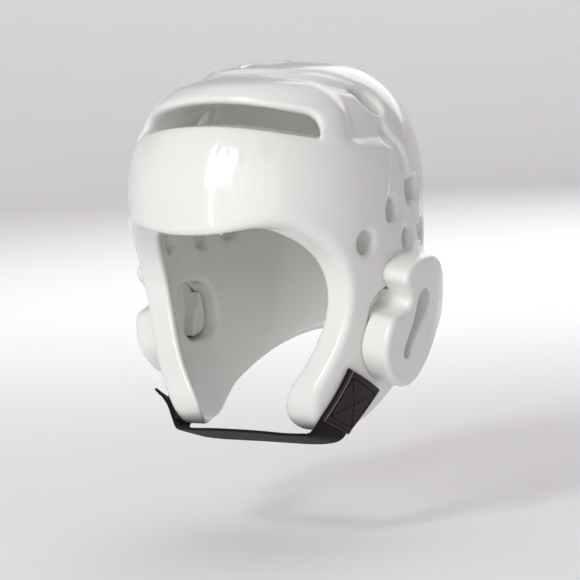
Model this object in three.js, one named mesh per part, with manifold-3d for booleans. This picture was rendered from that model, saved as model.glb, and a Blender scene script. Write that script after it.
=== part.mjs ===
// Martial arts head guard: one thick dipped-foam shell, a foam guard over each ear and a webbing chin strap.
// Millimetres, +Z up, the wearer faces -Y and the wearer's left is +X.
// The origin is the inside of the crown, where the guard sits on a head.
import * as THREE from 'three';
import { mergeVertices } from 'three/addons/utils/BufferGeometryUtils.js';
import Module from 'manifold-3d';

const wasm = await Module();
wasm.setup();

// Foam shell
const FOAM = 18;
const HALF_WIDTH = 90.5;
const FRONT_REACH = 113;
const BACK_REACH = 109;
const DOME_HEIGHT = 98;
const SKIRT_DEPTH = 150;
const CROWN_SHIFT = 9;
const DOME_POWER = 2.57;
const PLAN_POWER = 2.18;
const WIDTH_TAPER = { share: 0.33, power: 2.6 };
const FRONT_TAPER = { share: 0.24, power: 1.5 };
const BACK_TAPER = { share: 0.40, power: 2.0 };

// Forehead band, with a ledge along its top edge
const BAND_DROP = 37;
const BAND_FALL = 20;
const BAND_PROUD = 3;
const BAND_END = THREE.MathUtils.degToRad(100);
const LEDGE_SLOPE = 1.2;

// Front slot above the band, and the fat roll around it
const SLOT_TURN = THREE.MathUtils.degToRad(55);
const SLOT_HEIGHT = 13;
const SLOT_ROUNDING = THREE.MathUtils.degToRad(11);
// Point behind the section's middle that the cut aims at, and its outer and inner end as shares of the way
// from there to the outer surface
const SLOT_AIM = 77;
const SLOT_OUTSIDE = 1.1;
const SLOT_INSIDE = 0.72;
const ROLL_SIDE = 26;
const ROLL_TOP = 44;
const ROLL_PROUD = 3.2;
const VALLEY_DEPTH = 3;

// Upright groove on each side, behind the band
const GROOVE_TURN = THREE.MathUtils.degToRad(100);
const GROOVE_WIDTH = THREE.MathUtils.degToRad(5.5);
const GROOVE_DEPTH = 2.6;

// Round vents on each side: turn from the front in degrees, rise above the widest level and radius as
// shares of DOME_HEIGHT and VENT_RADIUS
const VENT_RADIUS = 7;
const VENT_LIP = 2.6;
const VENTS = [
  { turn: 72, rise: -0.20, size: 1.00 },
  { turn: 86, rise: -0.01, size: 0.95 },
  { turn: 100, rise: 0.10, size: 1.05 },
  { turn: 94, rise: -0.23, size: 0.90 },
  { turn: 112, rise: -0.18, size: 0.90 },
];

// Pointed vents high on each side, and the oval one on top
const ALMOND_LENGTH = 32;
const ALMOND_WIDTH = 15;
const ALMOND_TURN = 85;
const ALMOND_RISE = 0.75;
const TOP_VENT_LENGTH = 42;
const TOP_VENT_WIDTH = 25;
const TOP_VENT_OFFSET = 17;

// Ear openings through the shell: place behind the section's middle, drop below the widest level, half sizes
const EAR_OPENING = { back: -9, drop: 71, halfLength: 27, halfHeight: 20 };

// Ear guards: the outer face's middle, out from the shell's half width, behind the section's middle and below
// the widest level; its lean in towards the jaw and its turn, and its size
const EAR_FACE = { out: 9.5, back: 4.5, drop: 76 };
const EAR_LEAN = 0.19;
const EAR_FACE_TURN = -0.02;
const EAR_LENGTH = 82;
const EAR_HEIGHT = 84;
const EAR_DEPTH = 45;
const EAR_ROUNDING = 4;
// Outline of the outer face, as shares of EAR_LENGTH to the rear and EAR_HEIGHT upwards from its middle
const EAR_OUTLINE = [
  { back: 0.10, up: 0.500 }, { back: -0.10, up: 0.490 }, { back: -0.24, up: 0.420 }, { back: -0.265, up: 0.335 },
  { back: -0.19, up: 0.265 }, { back: -0.135, up: 0.200 }, { back: -0.18, up: 0.125 }, { back: -0.30, up: 0.080 },
  { back: -0.42, up: 0.055 }, { back: -0.500, up: -0.050 }, { back: -0.475, up: -0.165 }, { back: -0.40, up: -0.300 },
  { back: -0.26, up: -0.430 }, { back: -0.08, up: -0.500 }, { back: 0.08, up: -0.465 }, { back: 0.23, up: -0.330 },
  { back: 0.38, up: -0.170 }, { back: 0.500, up: -0.060 }, { back: 0.495, up: 0.080 }, { back: 0.40, up: 0.270 },
  { back: 0.26, up: 0.430 },
];
// Slot through each ear guard, from its wide top to its narrow foot, in the same shares; width is a share of
// EAR_LENGTH
const EAR_SLOT = [
  { back: 0.07, up: 0.25, width: 0.183 }, { back: 0.06, up: 0.13, width: 0.171 },
  { back: -0.02, up: -0.04, width: 0.134 }, { back: -0.14, up: -0.20, width: 0.116 },
];

// Face opening and lower edge in side view: reach to the front (-) as a share of FRONT_REACH or to the
// back (+) of BACK_REACH from the section's middle, and drop below the widest level as a share of SKIRT_DEPTH
const RIM = [
  { reach: -1.10, drop: 0.085 }, { reach: -1.01, drop: 0.065 }, { reach: -0.885, drop: 0.028 },
  { reach: -0.77, drop: 0.036 }, { reach: -0.69, drop: 0.070 }, { reach: -0.595, drop: 0.125 },
  { reach: -0.505, drop: 0.205 }, { reach: -0.448, drop: 0.310 }, { reach: -0.437, drop: 0.420 },
  { reach: -0.460, drop: 0.530 }, { reach: -0.487, drop: 0.650 }, { reach: -0.514, drop: 0.760 },
  { reach: -0.524, drop: 0.850 }, { reach: -0.494, drop: 0.915 }, { reach: -0.400, drop: 0.945 },
  { reach: -0.240, drop: 0.952 }, { reach: -0.105, drop: 0.938 }, { reach: 0.03, drop: 0.890 },
  { reach: 0.165, drop: 0.835 }, { reach: 0.345, drop: 0.770 }, { reach: 0.575, drop: 0.675 },
  { reach: 0.80, drop: 0.580 }, { reach: 1.00, drop: 0.530 }, { reach: 1.30, drop: 0.520 },
];

// Chin strap: webbing that lies on each cheek and passes under the chin
const STRAP_THICKNESS = 2;
const STRAP_FIT = 0.5;
const CHIN_DEPTH = 152;
const FREE_END_LIFT = 7;
const FREE_END_SHARE = 0.5;
const FREE_END_START = 0.42;
const STRAP_STEPS = 48;
const STRAP_COLUMNS = 4;
// Front and rear edge of the strap on a cheek, from its end down to the rim: reach and drop as in RIM
const STRAP_ON_CHEEK = [
  { front: { reach: -0.405, drop: 0.672 }, rear: { reach: -0.090, drop: 0.800 } },
  { front: { reach: -0.432, drop: 0.765 }, rear: { reach: -0.155, drop: 0.875 } },
  { front: { reach: -0.458, drop: 0.855 }, rear: { reach: -0.205, drop: 0.940 } },
  { front: { reach: -0.490, drop: 0.953 }, rear: { reach: -0.245, drop: 0.998 } },
];
// The rest of the way under the chin: x as a share of HALF_WIDTH, y as reach, z as a share of CHIN_DEPTH
const STRAP_UNDER_CHIN = [
  { across: 0.540, front: { reach: -0.515, drop: 0.967 }, rear: { reach: -0.255, drop: 1.004 } },
  { across: 0.400, front: { reach: -0.550, drop: 0.970 }, rear: { reach: -0.265, drop: 1.012 } },
  { across: 0.200, front: { reach: -0.595, drop: 0.962 }, rear: { reach: -0.275, drop: 1.012 } },
  { across: 0.000, front: { reach: -0.612, drop: 0.958 }, rear: { reach: -0.280, drop: 1.010 } },
];

// Sewn end of the strap on the left cheek and the hook pad behind the strap on the right cheek
const CLEARANCE = 0.3;
const SEWN_END_THICKNESS = 1.8;
const SEWN_END_TRIM_SHARE = 0.01;
const SEWN_END_STEPS = 8;
const HOOK_PAD_THICKNESS = 1.6;
const HOOK_PAD_INSET_SHARE = 0.06;
const HOOK_PAD_TRIM_SHARE = 0.06;

const EQUATOR = FOAM - DOME_HEIGHT;
const MIDDLE = -CROWN_SHIFT;
const COLUMNS = 72;
const INNER_COLUMNS = 44;

const SHELL_FINISH = { color: 0xe4e6e0, roughness: 0.28, metalness: 0 };
const WEBBING_FINISH = { color: 0x17171a, roughness: 0.8, metalness: 0 };
const HOOK_FINISH = { color: 0x1c1c1f, roughness: 0.95, metalness: 0 };

// Share of a half size that is left at a depth of the skirt
const tapered = (taper, depth) => 1 - taper.share * depth ** taper.power;

// Point of the shell's surface. turn is measured from the front; level runs from 0 at the widest section to
// 1 on top, and down to -1 at the skirt's foot; grow moves the surface outwards.
function shellPoint(turn, level, grow) {
  const depth = Math.max(-level, 0);
  const latitude = Math.max(level, 0) * Math.PI / 2;
  const height = DOME_HEIGHT + grow;
  const rise = level > 0 ? height * Math.sin(latitude) ** (2 / DOME_POWER) : -depth * SKIRT_DEPTH;
  const shrink = Math.max(Math.cos(latitude), 0) ** (2 / DOME_POWER);
  const half = HALF_WIDTH * tapered(WIDTH_TAPER, depth) + grow;
  const front = FRONT_REACH * tapered(FRONT_TAPER, depth) + grow;
  const back = BACK_REACH * tapered(BACK_TAPER, depth) + grow;
  const across = Math.sign(Math.sin(turn)) * Math.abs(Math.sin(turn)) ** (2 / PLAN_POWER);
  const along = -Math.sign(Math.cos(turn)) * Math.abs(Math.cos(turn)) ** (2 / PLAN_POWER);
  const shift = CROWN_SHIFT * (Math.max(rise, 0) / height) ** 2;
  return new THREE.Vector3(
    half * shrink * across,
    MIDDLE + shift + (along < 0 ? front : back) * shrink * along,
    EQUATOR + rise,
  );
}

// Level of the outer surface at a height above the widest section
function levelAt(rise) {
  if (rise <= 0) return rise / SKIRT_DEPTH;
  return Math.asin((rise / DOME_HEIGHT) ** (DOME_POWER / 2)) * 2 / Math.PI;
}

// Half width of the shell at a place in side view
function shellSide(y, z, grow) {
  const depth = Math.max((EQUATOR - z) / SKIRT_DEPTH, 0);
  const half = HALF_WIDTH * tapered(WIDTH_TAPER, depth) + grow;
  const reach = y < MIDDLE ? FRONT_REACH * tapered(FRONT_TAPER, depth) : BACK_REACH * tapered(BACK_TAPER, depth);
  return half * (1 - (Math.abs(y - MIDDLE) / (reach + grow)) ** PLAN_POWER) ** (1 / PLAN_POWER);
}

// Height of the forehead band's top edge
function bandTop(turn) {
  const bend = Math.sin(Math.min(Math.abs(sideTurn(turn)), BAND_END) * 0.9);
  return -(BAND_DROP - FOAM) - BAND_FALL * bend ** 2;
}

// Signed turn from the front, between -180 and 180 degrees
function sideTurn(turn) {
  return Math.atan2(Math.sin(turn), Math.cos(turn));
}

// How far the moulded surface stands out of the plain shell: band, roll around the slot, valley and groove
function relief(turn, level, overBand) {
  const side = Math.abs(sideTurn(turn));
  const band = BAND_PROUD * Math.cos(Math.min(side / BAND_END, 1) * Math.PI / 2) / 2;
  const spot = shellPoint(side, level, 0);
  const groove = GROOVE_DEPTH * Math.exp(-(((side - GROOVE_TURN) / GROOVE_WIDTH) ** 2));
  const grooveFade = THREE.MathUtils.smoothstep(spot.z, EQUATOR - 0.3 * DOME_HEIGHT, EQUATOR - 0.2 * DOME_HEIGHT)
    * (1 - THREE.MathUtils.smoothstep(spot.z, EQUATOR + 0.5 * DOME_HEIGHT, EQUATOR + 0.62 * DOME_HEIGHT));
  if (!overBand) return band * THREE.MathUtils.smoothstep(level, -0.5, 0) - groove * grooveFade;
  const ledge = shellPoint(side, levelAt(bandTop(side) - EQUATOR), 0);
  const above = Math.max(spot.distanceTo(ledge) - SLOT_HEIGHT, 0);
  const beyond = Math.max(side - SLOT_TURN, 0) * HALF_WIDTH;
  const distance = Math.hypot(beyond / ROLL_SIDE, above / ROLL_TOP);
  const frontness = 1 - THREE.MathUtils.smoothstep(side, 1.35, 1.9);
  const roll = distance < 1 ? ROLL_PROUD * Math.sin(Math.PI * distance) : 0;
  const middleness = Math.max(1 - beyond / ROLL_SIDE, 0);
  const valley = VALLEY_DEPTH * Math.exp(-(((distance - 1.12) / 0.2) ** 2)) * middleness;
  return (roll - valley) * frontness - band * Math.exp(-above / SLOT_HEIGHT) - groove * grooveFade;
}

// Closed body through rings of equal count, with a fan on each end; rings run along the body
function loft(rings) {
  const positions = [];
  const centre = (ring) => ring.reduce((sum, p) => sum.add(p), new THREE.Vector3()).divideScalar(ring.length);
  const triangle = (a, b, c) => positions.push(...a.toArray(), ...b.toArray(), ...c.toArray());
  const count = rings[0].length;
  const first = centre(rings[0]);
  const last = centre(rings[rings.length - 1]);
  for (let i = 0; i < count; i += 1) {
    const next = (i + 1) % count;
    triangle(first, rings[0][next], rings[0][i]);
    triangle(last, rings[rings.length - 1][i], rings[rings.length - 1][next]);
    for (let row = 0; row + 1 < rings.length; row += 1) {
      triangle(rings[row][i], rings[row][next], rings[row + 1][next]);
      triangle(rings[row][i], rings[row + 1][next], rings[row + 1][i]);
    }
  }
  const geometry = new THREE.BufferGeometry();
  geometry.setAttribute('position', new THREE.Float32BufferAttribute(positions, 3));
  return geometry;
}

// Solid for joining and cutting; a body that comes out inside out is turned
function solid(geometry) {
  const bare = geometry.clone();
  bare.deleteAttribute('normal');
  bare.deleteAttribute('uv');
  const merged = mergeVertices(bare, 1e-4);
  const index = Uint32Array.from(merged.index.array);
  const vertProperties = Float32Array.from(merged.attributes.position.array);
  const volume = signedVolume(vertProperties, index);
  if (volume < 0) {
    for (let i = 0; i < index.length; i += 3) [index[i], index[i + 1]] = [index[i + 1], index[i]];
  }
  return new wasm.Manifold(new wasm.Mesh({ numProp: 3, vertProperties, triVerts: index }));
}

// Six times the volume that the triangles close, negative when they face inwards
function signedVolume(points, index) {
  const [a, b, c] = [new THREE.Vector3(), new THREE.Vector3(), new THREE.Vector3()];
  let sum = 0;
  for (let i = 0; i < index.length; i += 3) {
    a.fromArray(points, index[i] * 3);
    b.fromArray(points, index[i + 1] * 3);
    c.fromArray(points, index[i + 2] * 3);
    sum += a.dot(b.cross(c));
  }
  return sum;
}

// Geometry of a solid after its joins and cuts
function geometryOf(body) {
  const mesh = body.getMesh();
  const geometry = new THREE.BufferGeometry();
  geometry.setAttribute('position', new THREE.BufferAttribute(Float32Array.from(mesh.vertProperties), 3));
  geometry.setIndex(new THREE.BufferAttribute(Uint32Array.from(mesh.triVerts), 1));
  return geometry;
}

function namedMesh(name, geometry, finish) {
  const mesh = new THREE.Mesh(geometry, new THREE.MeshStandardMaterial(finish));
  mesh.name = name;
  return mesh;
}

// Ring of the shell at one row, where levelOf gives each column's level
function shellRing(columns, levelOf, grow, overBand) {
  return Array.from({ length: columns }, (_, i) => {
    const turn = i / columns * 2 * Math.PI;
    const level = levelOf(turn);
    const extra = overBand === null ? 0 : relief(turn, level, overBand);
    return shellPoint(turn, level, grow + extra);
  });
}

// Full outer body, without its hollow, grown by a clearance
function outerBody(grow) {
  const rings = [];
  const below = [-1.03, -0.93, -0.82, -0.70, -0.58, -0.46, -0.34, -0.22, -0.10, 0];
  for (const level of below) rings.push(shellRing(COLUMNS, () => level, grow, false));
  const ledge = (turn, slope) => levelAt(bandTop(turn) - EQUATOR + slope);
  for (const share of [0.30, 0.58, 0.82]) {
    rings.push(shellRing(COLUMNS, (turn) => share * ledge(turn, -LEDGE_SLOPE), grow, false));
  }
  rings.push(shellRing(COLUMNS, (turn) => ledge(turn, -LEDGE_SLOPE), grow, false));
  rings.push(shellRing(COLUMNS, (turn) => ledge(turn, LEDGE_SLOPE), grow, true));
  for (const share of [0.09, 0.20, 0.32, 0.44, 0.56, 0.68, 0.79, 0.89, 0.97]) {
    rings.push(shellRing(COLUMNS, (turn) => {
      const start = ledge(turn, LEDGE_SLOPE);
      return start + (1 - start) * share;
    }, grow, true));
  }
  return solid(loft(rings));
}

// Hollow for the head, open at the bottom
function hollowBody() {
  const levels = [-1.10, -0.85, -0.62, -0.40, -0.20, 0, 0.14, 0.28, 0.42, 0.56, 0.69, 0.81, 0.91, 0.975];
  return solid(loft(levels.map((level) => shellRing(INNER_COLUMNS, () => level, -FOAM, null))));
}

// Everything in front of the cheeks and below the rim, right across the shell
function rimCutter() {
  const edge = new THREE.SplineCurve(RIM.map(rimPlace)).getPoints(64);
  const far = 2 * (FRONT_REACH + BACK_REACH);
  const shape = new THREE.Shape([
    new THREE.Vector2(-far, edge[0].y), ...edge,
    new THREE.Vector2(far, edge[edge.length - 1].y), new THREE.Vector2(far, -far), new THREE.Vector2(-far, -far),
  ]);
  const depth = 2 * (HALF_WIDTH + FOAM);
  const geometry = new THREE.ExtrudeGeometry(shape, { depth, bevelEnabled: false, steps: 1 });
  const toSide = new THREE.Matrix4().makeBasis(
    new THREE.Vector3(0, 1, 0), new THREE.Vector3(0, 0, 1), new THREE.Vector3(1, 0, 0),
  );
  return solid(geometry.applyMatrix4(toSide).translate(-depth / 2, 0, 0));
}

// Place in side view (y, z) of a row with reach and drop
function rimPlace({ reach, drop }) {
  return new THREE.Vector2(MIDDLE + reach * (reach < 0 ? FRONT_REACH : BACK_REACH), EQUATOR - drop * SKIRT_DEPTH);
}

// Level cut above the band, as tall as the slot in the middle and rounded off at both ends
function slotCutter() {
  const rings = [];
  const steps = 24;
  for (let i = 0; i <= steps; i += 1) {
    const turn = (2 * i / steps - 1) * SLOT_TURN * 0.995;
    const end = Math.max(Math.abs(turn) - SLOT_TURN + SLOT_ROUNDING, 0) / SLOT_ROUNDING;
    const low = bandTop(turn);
    const high = low + SLOT_HEIGHT * Math.sqrt(1 - end ** 2);
    const corners = [[low, SLOT_OUTSIDE], [high, SLOT_OUTSIDE], [high, SLOT_INSIDE], [low, SLOT_INSIDE]];
    rings.push(corners.map(([z, share]) => {
      const place = shellPoint(turn, levelAt(z - EQUATOR), 0);
      const aim = MIDDLE + SLOT_AIM;
      return new THREE.Vector3(place.x * share, aim + (place.y - aim) * share, z);
    }));
  }
  return solid(loft(rings));
}

// Frame on the outer surface: middle, outward normal, and the directions along and up the surface
function surfaceFrame(turn, level) {
  const step = 0.01;
  const middle = shellPoint(turn, level, 0);
  const along = shellPoint(turn + step, level, 0).sub(shellPoint(turn - step, level, 0)).normalize();
  const up = shellPoint(turn, level + step, 0).sub(shellPoint(turn, level - step, 0)).normalize();
  const normal = new THREE.Vector3().crossVectors(along, up).normalize();
  up.crossVectors(normal, along);
  return { middle, along, up, normal };
}

// Plug for a hole with a flared lip, from outside the shell to inside it, along the surface's normal
function lippedPlug(frame, outline, lip) {
  const stations = [[FOAM / 2, 2.4], [0.6, 1.0], [-lip * 0.6, 0.35], [-lip * 1.6, 0], [-FOAM * 1.7, 0]];
  return solid(loft(stations.map(([depth, flare]) => outline(flare * lip).map(([u, v]) => frame.middle.clone()
    .addScaledVector(frame.along, u)
    .addScaledVector(frame.up, v)
    .addScaledVector(frame.normal, depth)))));
}

const circle = (radius, sides) => (grow) => Array.from({ length: sides }, (_, i) => {
  const angle = i / sides * 2 * Math.PI;
  return [(radius + grow) * Math.cos(angle), (radius + grow) * Math.sin(angle)];
});

// Rounded oblong outline; point above 0 draws its upper end out to a tip, and lean tilts it
const oblong = (length, width, point, lean, sides) => (grow) => Array.from({ length: sides }, (_, i) => {
  const angle = i / sides * 2 * Math.PI;
  const v = (length / 2 + grow) * Math.sin(angle);
  const slim = 1 - point * Math.max(Math.sin(angle), 0) ** 2;
  const u = (width / 2 * slim + grow) * Math.cos(angle);
  return [u * Math.cos(lean) - v * Math.sin(lean), u * Math.sin(lean) + v * Math.cos(lean)];
});

// Round vents, pointed vents and the ear opening of one side
function sideCutters(side) {
  const cutters = VENTS.map((vent) => {
    const turn = side * THREE.MathUtils.degToRad(vent.turn);
    return lippedPlug(surfaceFrame(turn, levelAt(vent.rise * DOME_HEIGHT)), circle(VENT_RADIUS * vent.size, 12), VENT_LIP);
  });
  const almond = surfaceFrame(side * THREE.MathUtils.degToRad(ALMOND_TURN), levelAt(ALMOND_RISE * DOME_HEIGHT));
  cutters.push(lippedPlug(almond, oblong(ALMOND_LENGTH, ALMOND_WIDTH, 0.7, side * 0.45, 18), VENT_LIP * 0.7));
  cutters.push(earOpening(side));
  return cutters;
}

// Rounded opening beside the ear, straight through the shell
function earOpening(side) {
  const sides = 24;
  const ring = (x) => Array.from({ length: sides }, (_, i) => {
    const angle = i / sides * 2 * Math.PI;
    const [c, s] = [Math.cos(angle), Math.sin(angle)];
    return new THREE.Vector3(
      side * x,
      MIDDLE + EAR_OPENING.back + EAR_OPENING.halfLength * Math.sign(c) * Math.abs(c) ** 0.75,
      EQUATOR - EAR_OPENING.drop + EAR_OPENING.halfHeight * Math.sign(s) * Math.abs(s) ** 0.75,
    );
  });
  return solid(loft([ring(HALF_WIDTH - 3 * FOAM), ring(HALF_WIDTH + FOAM)]));
}

function foamShell() {
  const top = surfaceFrame(0, 0.93);
  top.middle.copy(new THREE.Vector3(0, -TOP_VENT_OFFSET, FOAM));
  top.along.set(1, 0, 0);
  top.up.set(0, 1, 0);
  top.normal.set(0, 0, 1);
  let body = outerBody(0).subtract(hollowBody()).subtract(rimCutter()).subtract(slotCutter());
  body = body.subtract(lippedPlug(top, oblong(TOP_VENT_LENGTH, TOP_VENT_WIDTH, 0.25, 0, 22), VENT_LIP));
  for (const side of [1, -1]) {
    for (const cutter of sideCutters(side)) body = body.subtract(cutter);
  }
  return geometryOf(body);
}

// Frame of the ear guard's outer face, seen from outside the left ear
function earMatrix() {
  const normal = new THREE.Vector3(1, EAR_FACE_TURN, -EAR_LEAN).normalize();
  const up = new THREE.Vector3(0, 0, 1).projectOnPlane(normal).normalize();
  const back = new THREE.Vector3().crossVectors(up, normal);
  return new THREE.Matrix4().makeBasis(back, up, normal)
    .setPosition(HALF_WIDTH + EAR_FACE.out, MIDDLE + EAR_FACE.back, EQUATOR - EAR_FACE.drop);
}

// Foam guard over one ear: the outline pushed in to the shell, soft at its outer edge, with its slot
function earGuard(side) {
  const place = ({ back, up }) => new THREE.Vector2(back * EAR_LENGTH, up * EAR_HEIGHT);
  const outline = new THREE.SplineCurve([...EAR_OUTLINE, EAR_OUTLINE[0]].map(place)).getPoints(63);
  outline.pop();
  const block = new THREE.ExtrudeGeometry(new THREE.Shape(outline), {
    depth: EAR_DEPTH, steps: 1, bevelThickness: EAR_ROUNDING, bevelSize: EAR_ROUNDING, bevelOffset: -EAR_ROUNDING,
    bevelSegments: 3,
  }).translate(0, 0, -EAR_DEPTH - EAR_ROUNDING);
  const matrix = earMatrix();
  const mirror = new THREE.Matrix4().makeScale(side, 1, 1);
  let body = solid(block.applyMatrix4(matrix).applyMatrix4(mirror));
  body = body.subtract(solid(earSlot().applyMatrix4(matrix).applyMatrix4(mirror)));
  return geometryOf(body.subtract(outerBody(CLEARANCE)));
}

// Slot with round ends that narrows downwards
function earSlot() {
  const spine = new THREE.SplineCurve(EAR_SLOT.map(({ back, up }) => new THREE.Vector2(back * EAR_LENGTH, up * EAR_HEIGHT)));
  const widths = new THREE.SplineCurve(EAR_SLOT.map(({ width }, i) => new THREE.Vector2(i, width * EAR_LENGTH)));
  const steps = 8;
  const [left, right] = [[], []];
  for (let i = 0; i <= steps; i += 1) {
    const point = spine.getPoint(i / steps);
    const tangent = spine.getTangent(i / steps);
    const half = widths.getPoint(i / steps).y / 2;
    left.push(new THREE.Vector2(point.x - tangent.y * half, point.y + tangent.x * half));
    right.unshift(new THREE.Vector2(point.x + tangent.y * half, point.y - tangent.x * half));
  }
  const cap = (at, sign) => {
    const point = spine.getPoint(at);
    const tangent = spine.getTangent(at).multiplyScalar(sign);
    const half = widths.getPoint(at).y / 2;
    return [0.25, 0.5, 0.75].map((share) => {
      const angle = Math.PI * share;
      return new THREE.Vector2(
        point.x + half * (Math.sin(angle) * tangent.x - Math.cos(angle) * tangent.y),
        point.y + half * (Math.sin(angle) * tangent.y + Math.cos(angle) * tangent.x),
      );
    });
  };
  const outline = [...left, ...cap(1, 1), ...right, ...cap(0, -1)];
  const depth = 2 * EAR_DEPTH;
  return new THREE.ExtrudeGeometry(new THREE.Shape(outline), { depth, bevelEnabled: false, steps: 1 })
    .translate(0, 0, -depth + EAR_ROUNDING);
}

// Lines of points across the strap on one cheek, from its end down to the rim. fit is the gap to the
// shell, and the strap's own end stands off by lift.
function cheekLines(side, from, fit, lift) {
  const curve = (edge) => new THREE.SplineCurve(STRAP_ON_CHEEK.map((row) => rimPlace(row[edge])));
  const [front, rear] = [curve('front'), curve('rear')];
  return [0, 0.2, 0.45, 0.7, 1].map((share) => {
    const at = from + (1 - from) * share;
    const off = lift * Math.max(1 - share / FREE_END_SHARE, 0) ** 2;
    return acrossStrap((part) => {
      const { x: y, y: z } = front.getPoint(at).lerp(rear.getPoint(at), part);
      return new THREE.Vector3(side * (shellSide(y, z, fit) + off), y, z);
    });
  });
}

// Lines of points across the strap from under one cheek to the middle of the chin
function chinLines(side) {
  const place = (across, { reach, drop }) => new THREE.Vector3(
    side * across * HALF_WIDTH, MIDDLE + reach * FRONT_REACH, EQUATOR - drop * CHIN_DEPTH,
  );
  return STRAP_UNDER_CHIN.map((row) => acrossStrap(
    (part) => place(row.across, row.front).lerp(place(row.across, row.rear), part),
  ));
}

function acrossStrap(pointAt) {
  return Array.from({ length: STRAP_COLUMNS + 1 }, (_, j) => pointAt(j / STRAP_COLUMNS));
}

// Evenly spaced lines along smooth paths, each point with the direction away from the head
function smoothLines(lines, count) {
  const paths = acrossStrap((part) => Math.round(part * STRAP_COLUMNS)).map((j) => (
    new THREE.CatmullRomCurve3(lines.map((line) => line[j]), false, 'centripetal').getSpacedPoints(count)
  ));
  return paths[0].map((_, i) => paths.map((path, j) => {
    const tangent = path[Math.min(i + 1, count)].clone().sub(path[Math.max(i - 1, 0)]);
    const width = paths[Math.min(j + 1, STRAP_COLUMNS)][i].clone().sub(paths[Math.max(j - 1, 0)][i]);
    return { point: path[i], normal: tangent.cross(width).normalize() };
  }));
}

// Flat band along lines, from lift to lift + thickness away from them; trim takes that share of the width
// off each edge
function band(lines, lift, thickness, trim) {
  const pointOn = (line, part, away) => {
    const at = (trim + (1 - 2 * trim) * part) * STRAP_COLUMNS;
    const j = Math.min(Math.floor(at), STRAP_COLUMNS - 1);
    const point = line[j].point.clone().lerp(line[j + 1].point, at - j);
    return point.addScaledVector(line[j].normal.clone().lerp(line[j + 1].normal, at - j).normalize(), away);
  };
  return loft(lines.map((line) => [
    ...acrossStrap((part) => pointOn(line, part, lift)),
    ...acrossStrap((part) => pointOn(line, 1 - part, lift + thickness)),
  ]));
}

// Whole loop of the strap: on the left cheek, under the chin and up the right cheek
function strapLines() {
  const left = [...cheekLines(1, 0, STRAP_FIT, 0), ...chinLines(1)];
  const padFit = STRAP_FIT + HOOK_PAD_THICKNESS + CLEARANCE;
  const right = [...cheekLines(-1, FREE_END_START, padFit, FREE_END_LIFT), ...chinLines(-1)];
  return smoothLines([...left, ...right.reverse().slice(1)], STRAP_STEPS);
}

// Pad that the strap's loose end fastens to, flat on the right cheek
function hookPad() {
  const lines = cheekLines(-1, FREE_END_START + HOOK_PAD_INSET_SHARE, STRAP_FIT, 0).slice(0, 4);
  return band(smoothLines(lines.reverse(), 8), 0, HOOK_PAD_THICKNESS, HOOK_PAD_TRIM_SHARE);
}

const strap = strapLines();
const guard = new THREE.Group();
guard.add(
  namedMesh('foam_shell', foamShell(), SHELL_FINISH),
  namedMesh('ear_guard_left', earGuard(1), SHELL_FINISH),
  namedMesh('ear_guard_right', earGuard(-1), SHELL_FINISH),
  namedMesh('chin_strap', band(strap, 0, STRAP_THICKNESS, 0), WEBBING_FINISH),
  namedMesh(
    'strap_sewn_end_left',
    band(strap.slice(0, SEWN_END_STEPS), STRAP_THICKNESS + CLEARANCE, SEWN_END_THICKNESS, SEWN_END_TRIM_SHARE),
    WEBBING_FINISH,
  ),
  namedMesh('hook_pad_right', hookPad(), HOOK_FINISH),
);

export default guard;
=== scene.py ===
"""Martial arts head guard: dipped foam and webbing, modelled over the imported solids.

Shapes are worked out in millimetres, +Z up, with the open face towards -Y, and become metres in the mesh. The
foam pieces are distance fields on a grid, joined and cut with rounded edges, and the webbing is made of
profiles carried along a path.
"""
import logging
import math
from collections.abc import Callable
from dataclasses import dataclass, field
from enum import Enum
from itertools import product

import bmesh
import bpy
import numpy as np
from mathutils import Matrix, Vector


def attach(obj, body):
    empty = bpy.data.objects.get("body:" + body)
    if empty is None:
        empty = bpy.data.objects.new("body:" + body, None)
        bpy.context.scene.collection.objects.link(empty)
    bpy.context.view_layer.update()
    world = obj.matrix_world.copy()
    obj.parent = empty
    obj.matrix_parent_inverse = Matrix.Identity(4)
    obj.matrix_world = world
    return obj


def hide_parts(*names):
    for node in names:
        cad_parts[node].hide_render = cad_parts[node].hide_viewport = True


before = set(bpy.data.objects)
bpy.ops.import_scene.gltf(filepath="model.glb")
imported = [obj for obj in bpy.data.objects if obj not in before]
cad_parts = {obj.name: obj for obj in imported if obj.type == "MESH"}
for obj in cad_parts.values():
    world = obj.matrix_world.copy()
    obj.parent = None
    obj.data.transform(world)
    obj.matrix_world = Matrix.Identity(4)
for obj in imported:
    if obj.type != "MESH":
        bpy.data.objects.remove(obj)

LOG = logging.getLogger("head_guard")
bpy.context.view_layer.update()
MM = 0.001


class Side(Enum):
    """The side of the guard that a piece is on; its value is the sign of x."""

    LEFT = 1
    RIGHT = -1


def smoothstep(value: np.ndarray, low: float, high: float) -> np.ndarray:
    """Rise from 0 at low to 1 at high, as 3t^2 - 2t^3."""
    share = np.clip((value - low) / (high - low), 0.0, 1.0)
    return share * share * (3.0 - 2.0 * share)


def round_and(first: np.ndarray, second: np.ndarray, radius: np.ndarray | float) -> np.ndarray:
    """Space inside both fields, with a rounded edge where they meet.

    Formula: the lesser of the greater field and -r, plus the length of (first + r, second + r) kept above 0.

    Args:
        first: distance field, negative inside.
        second: distance field, negative inside.
        radius: radius of the edge in millimetres.

    Returns:
        Distance field of what both hold.
    """
    corner = np.hypot(np.maximum(first + radius, 0.0), np.maximum(second + radius, 0.0))
    return np.minimum(np.maximum(first, second), -radius) + corner


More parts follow.
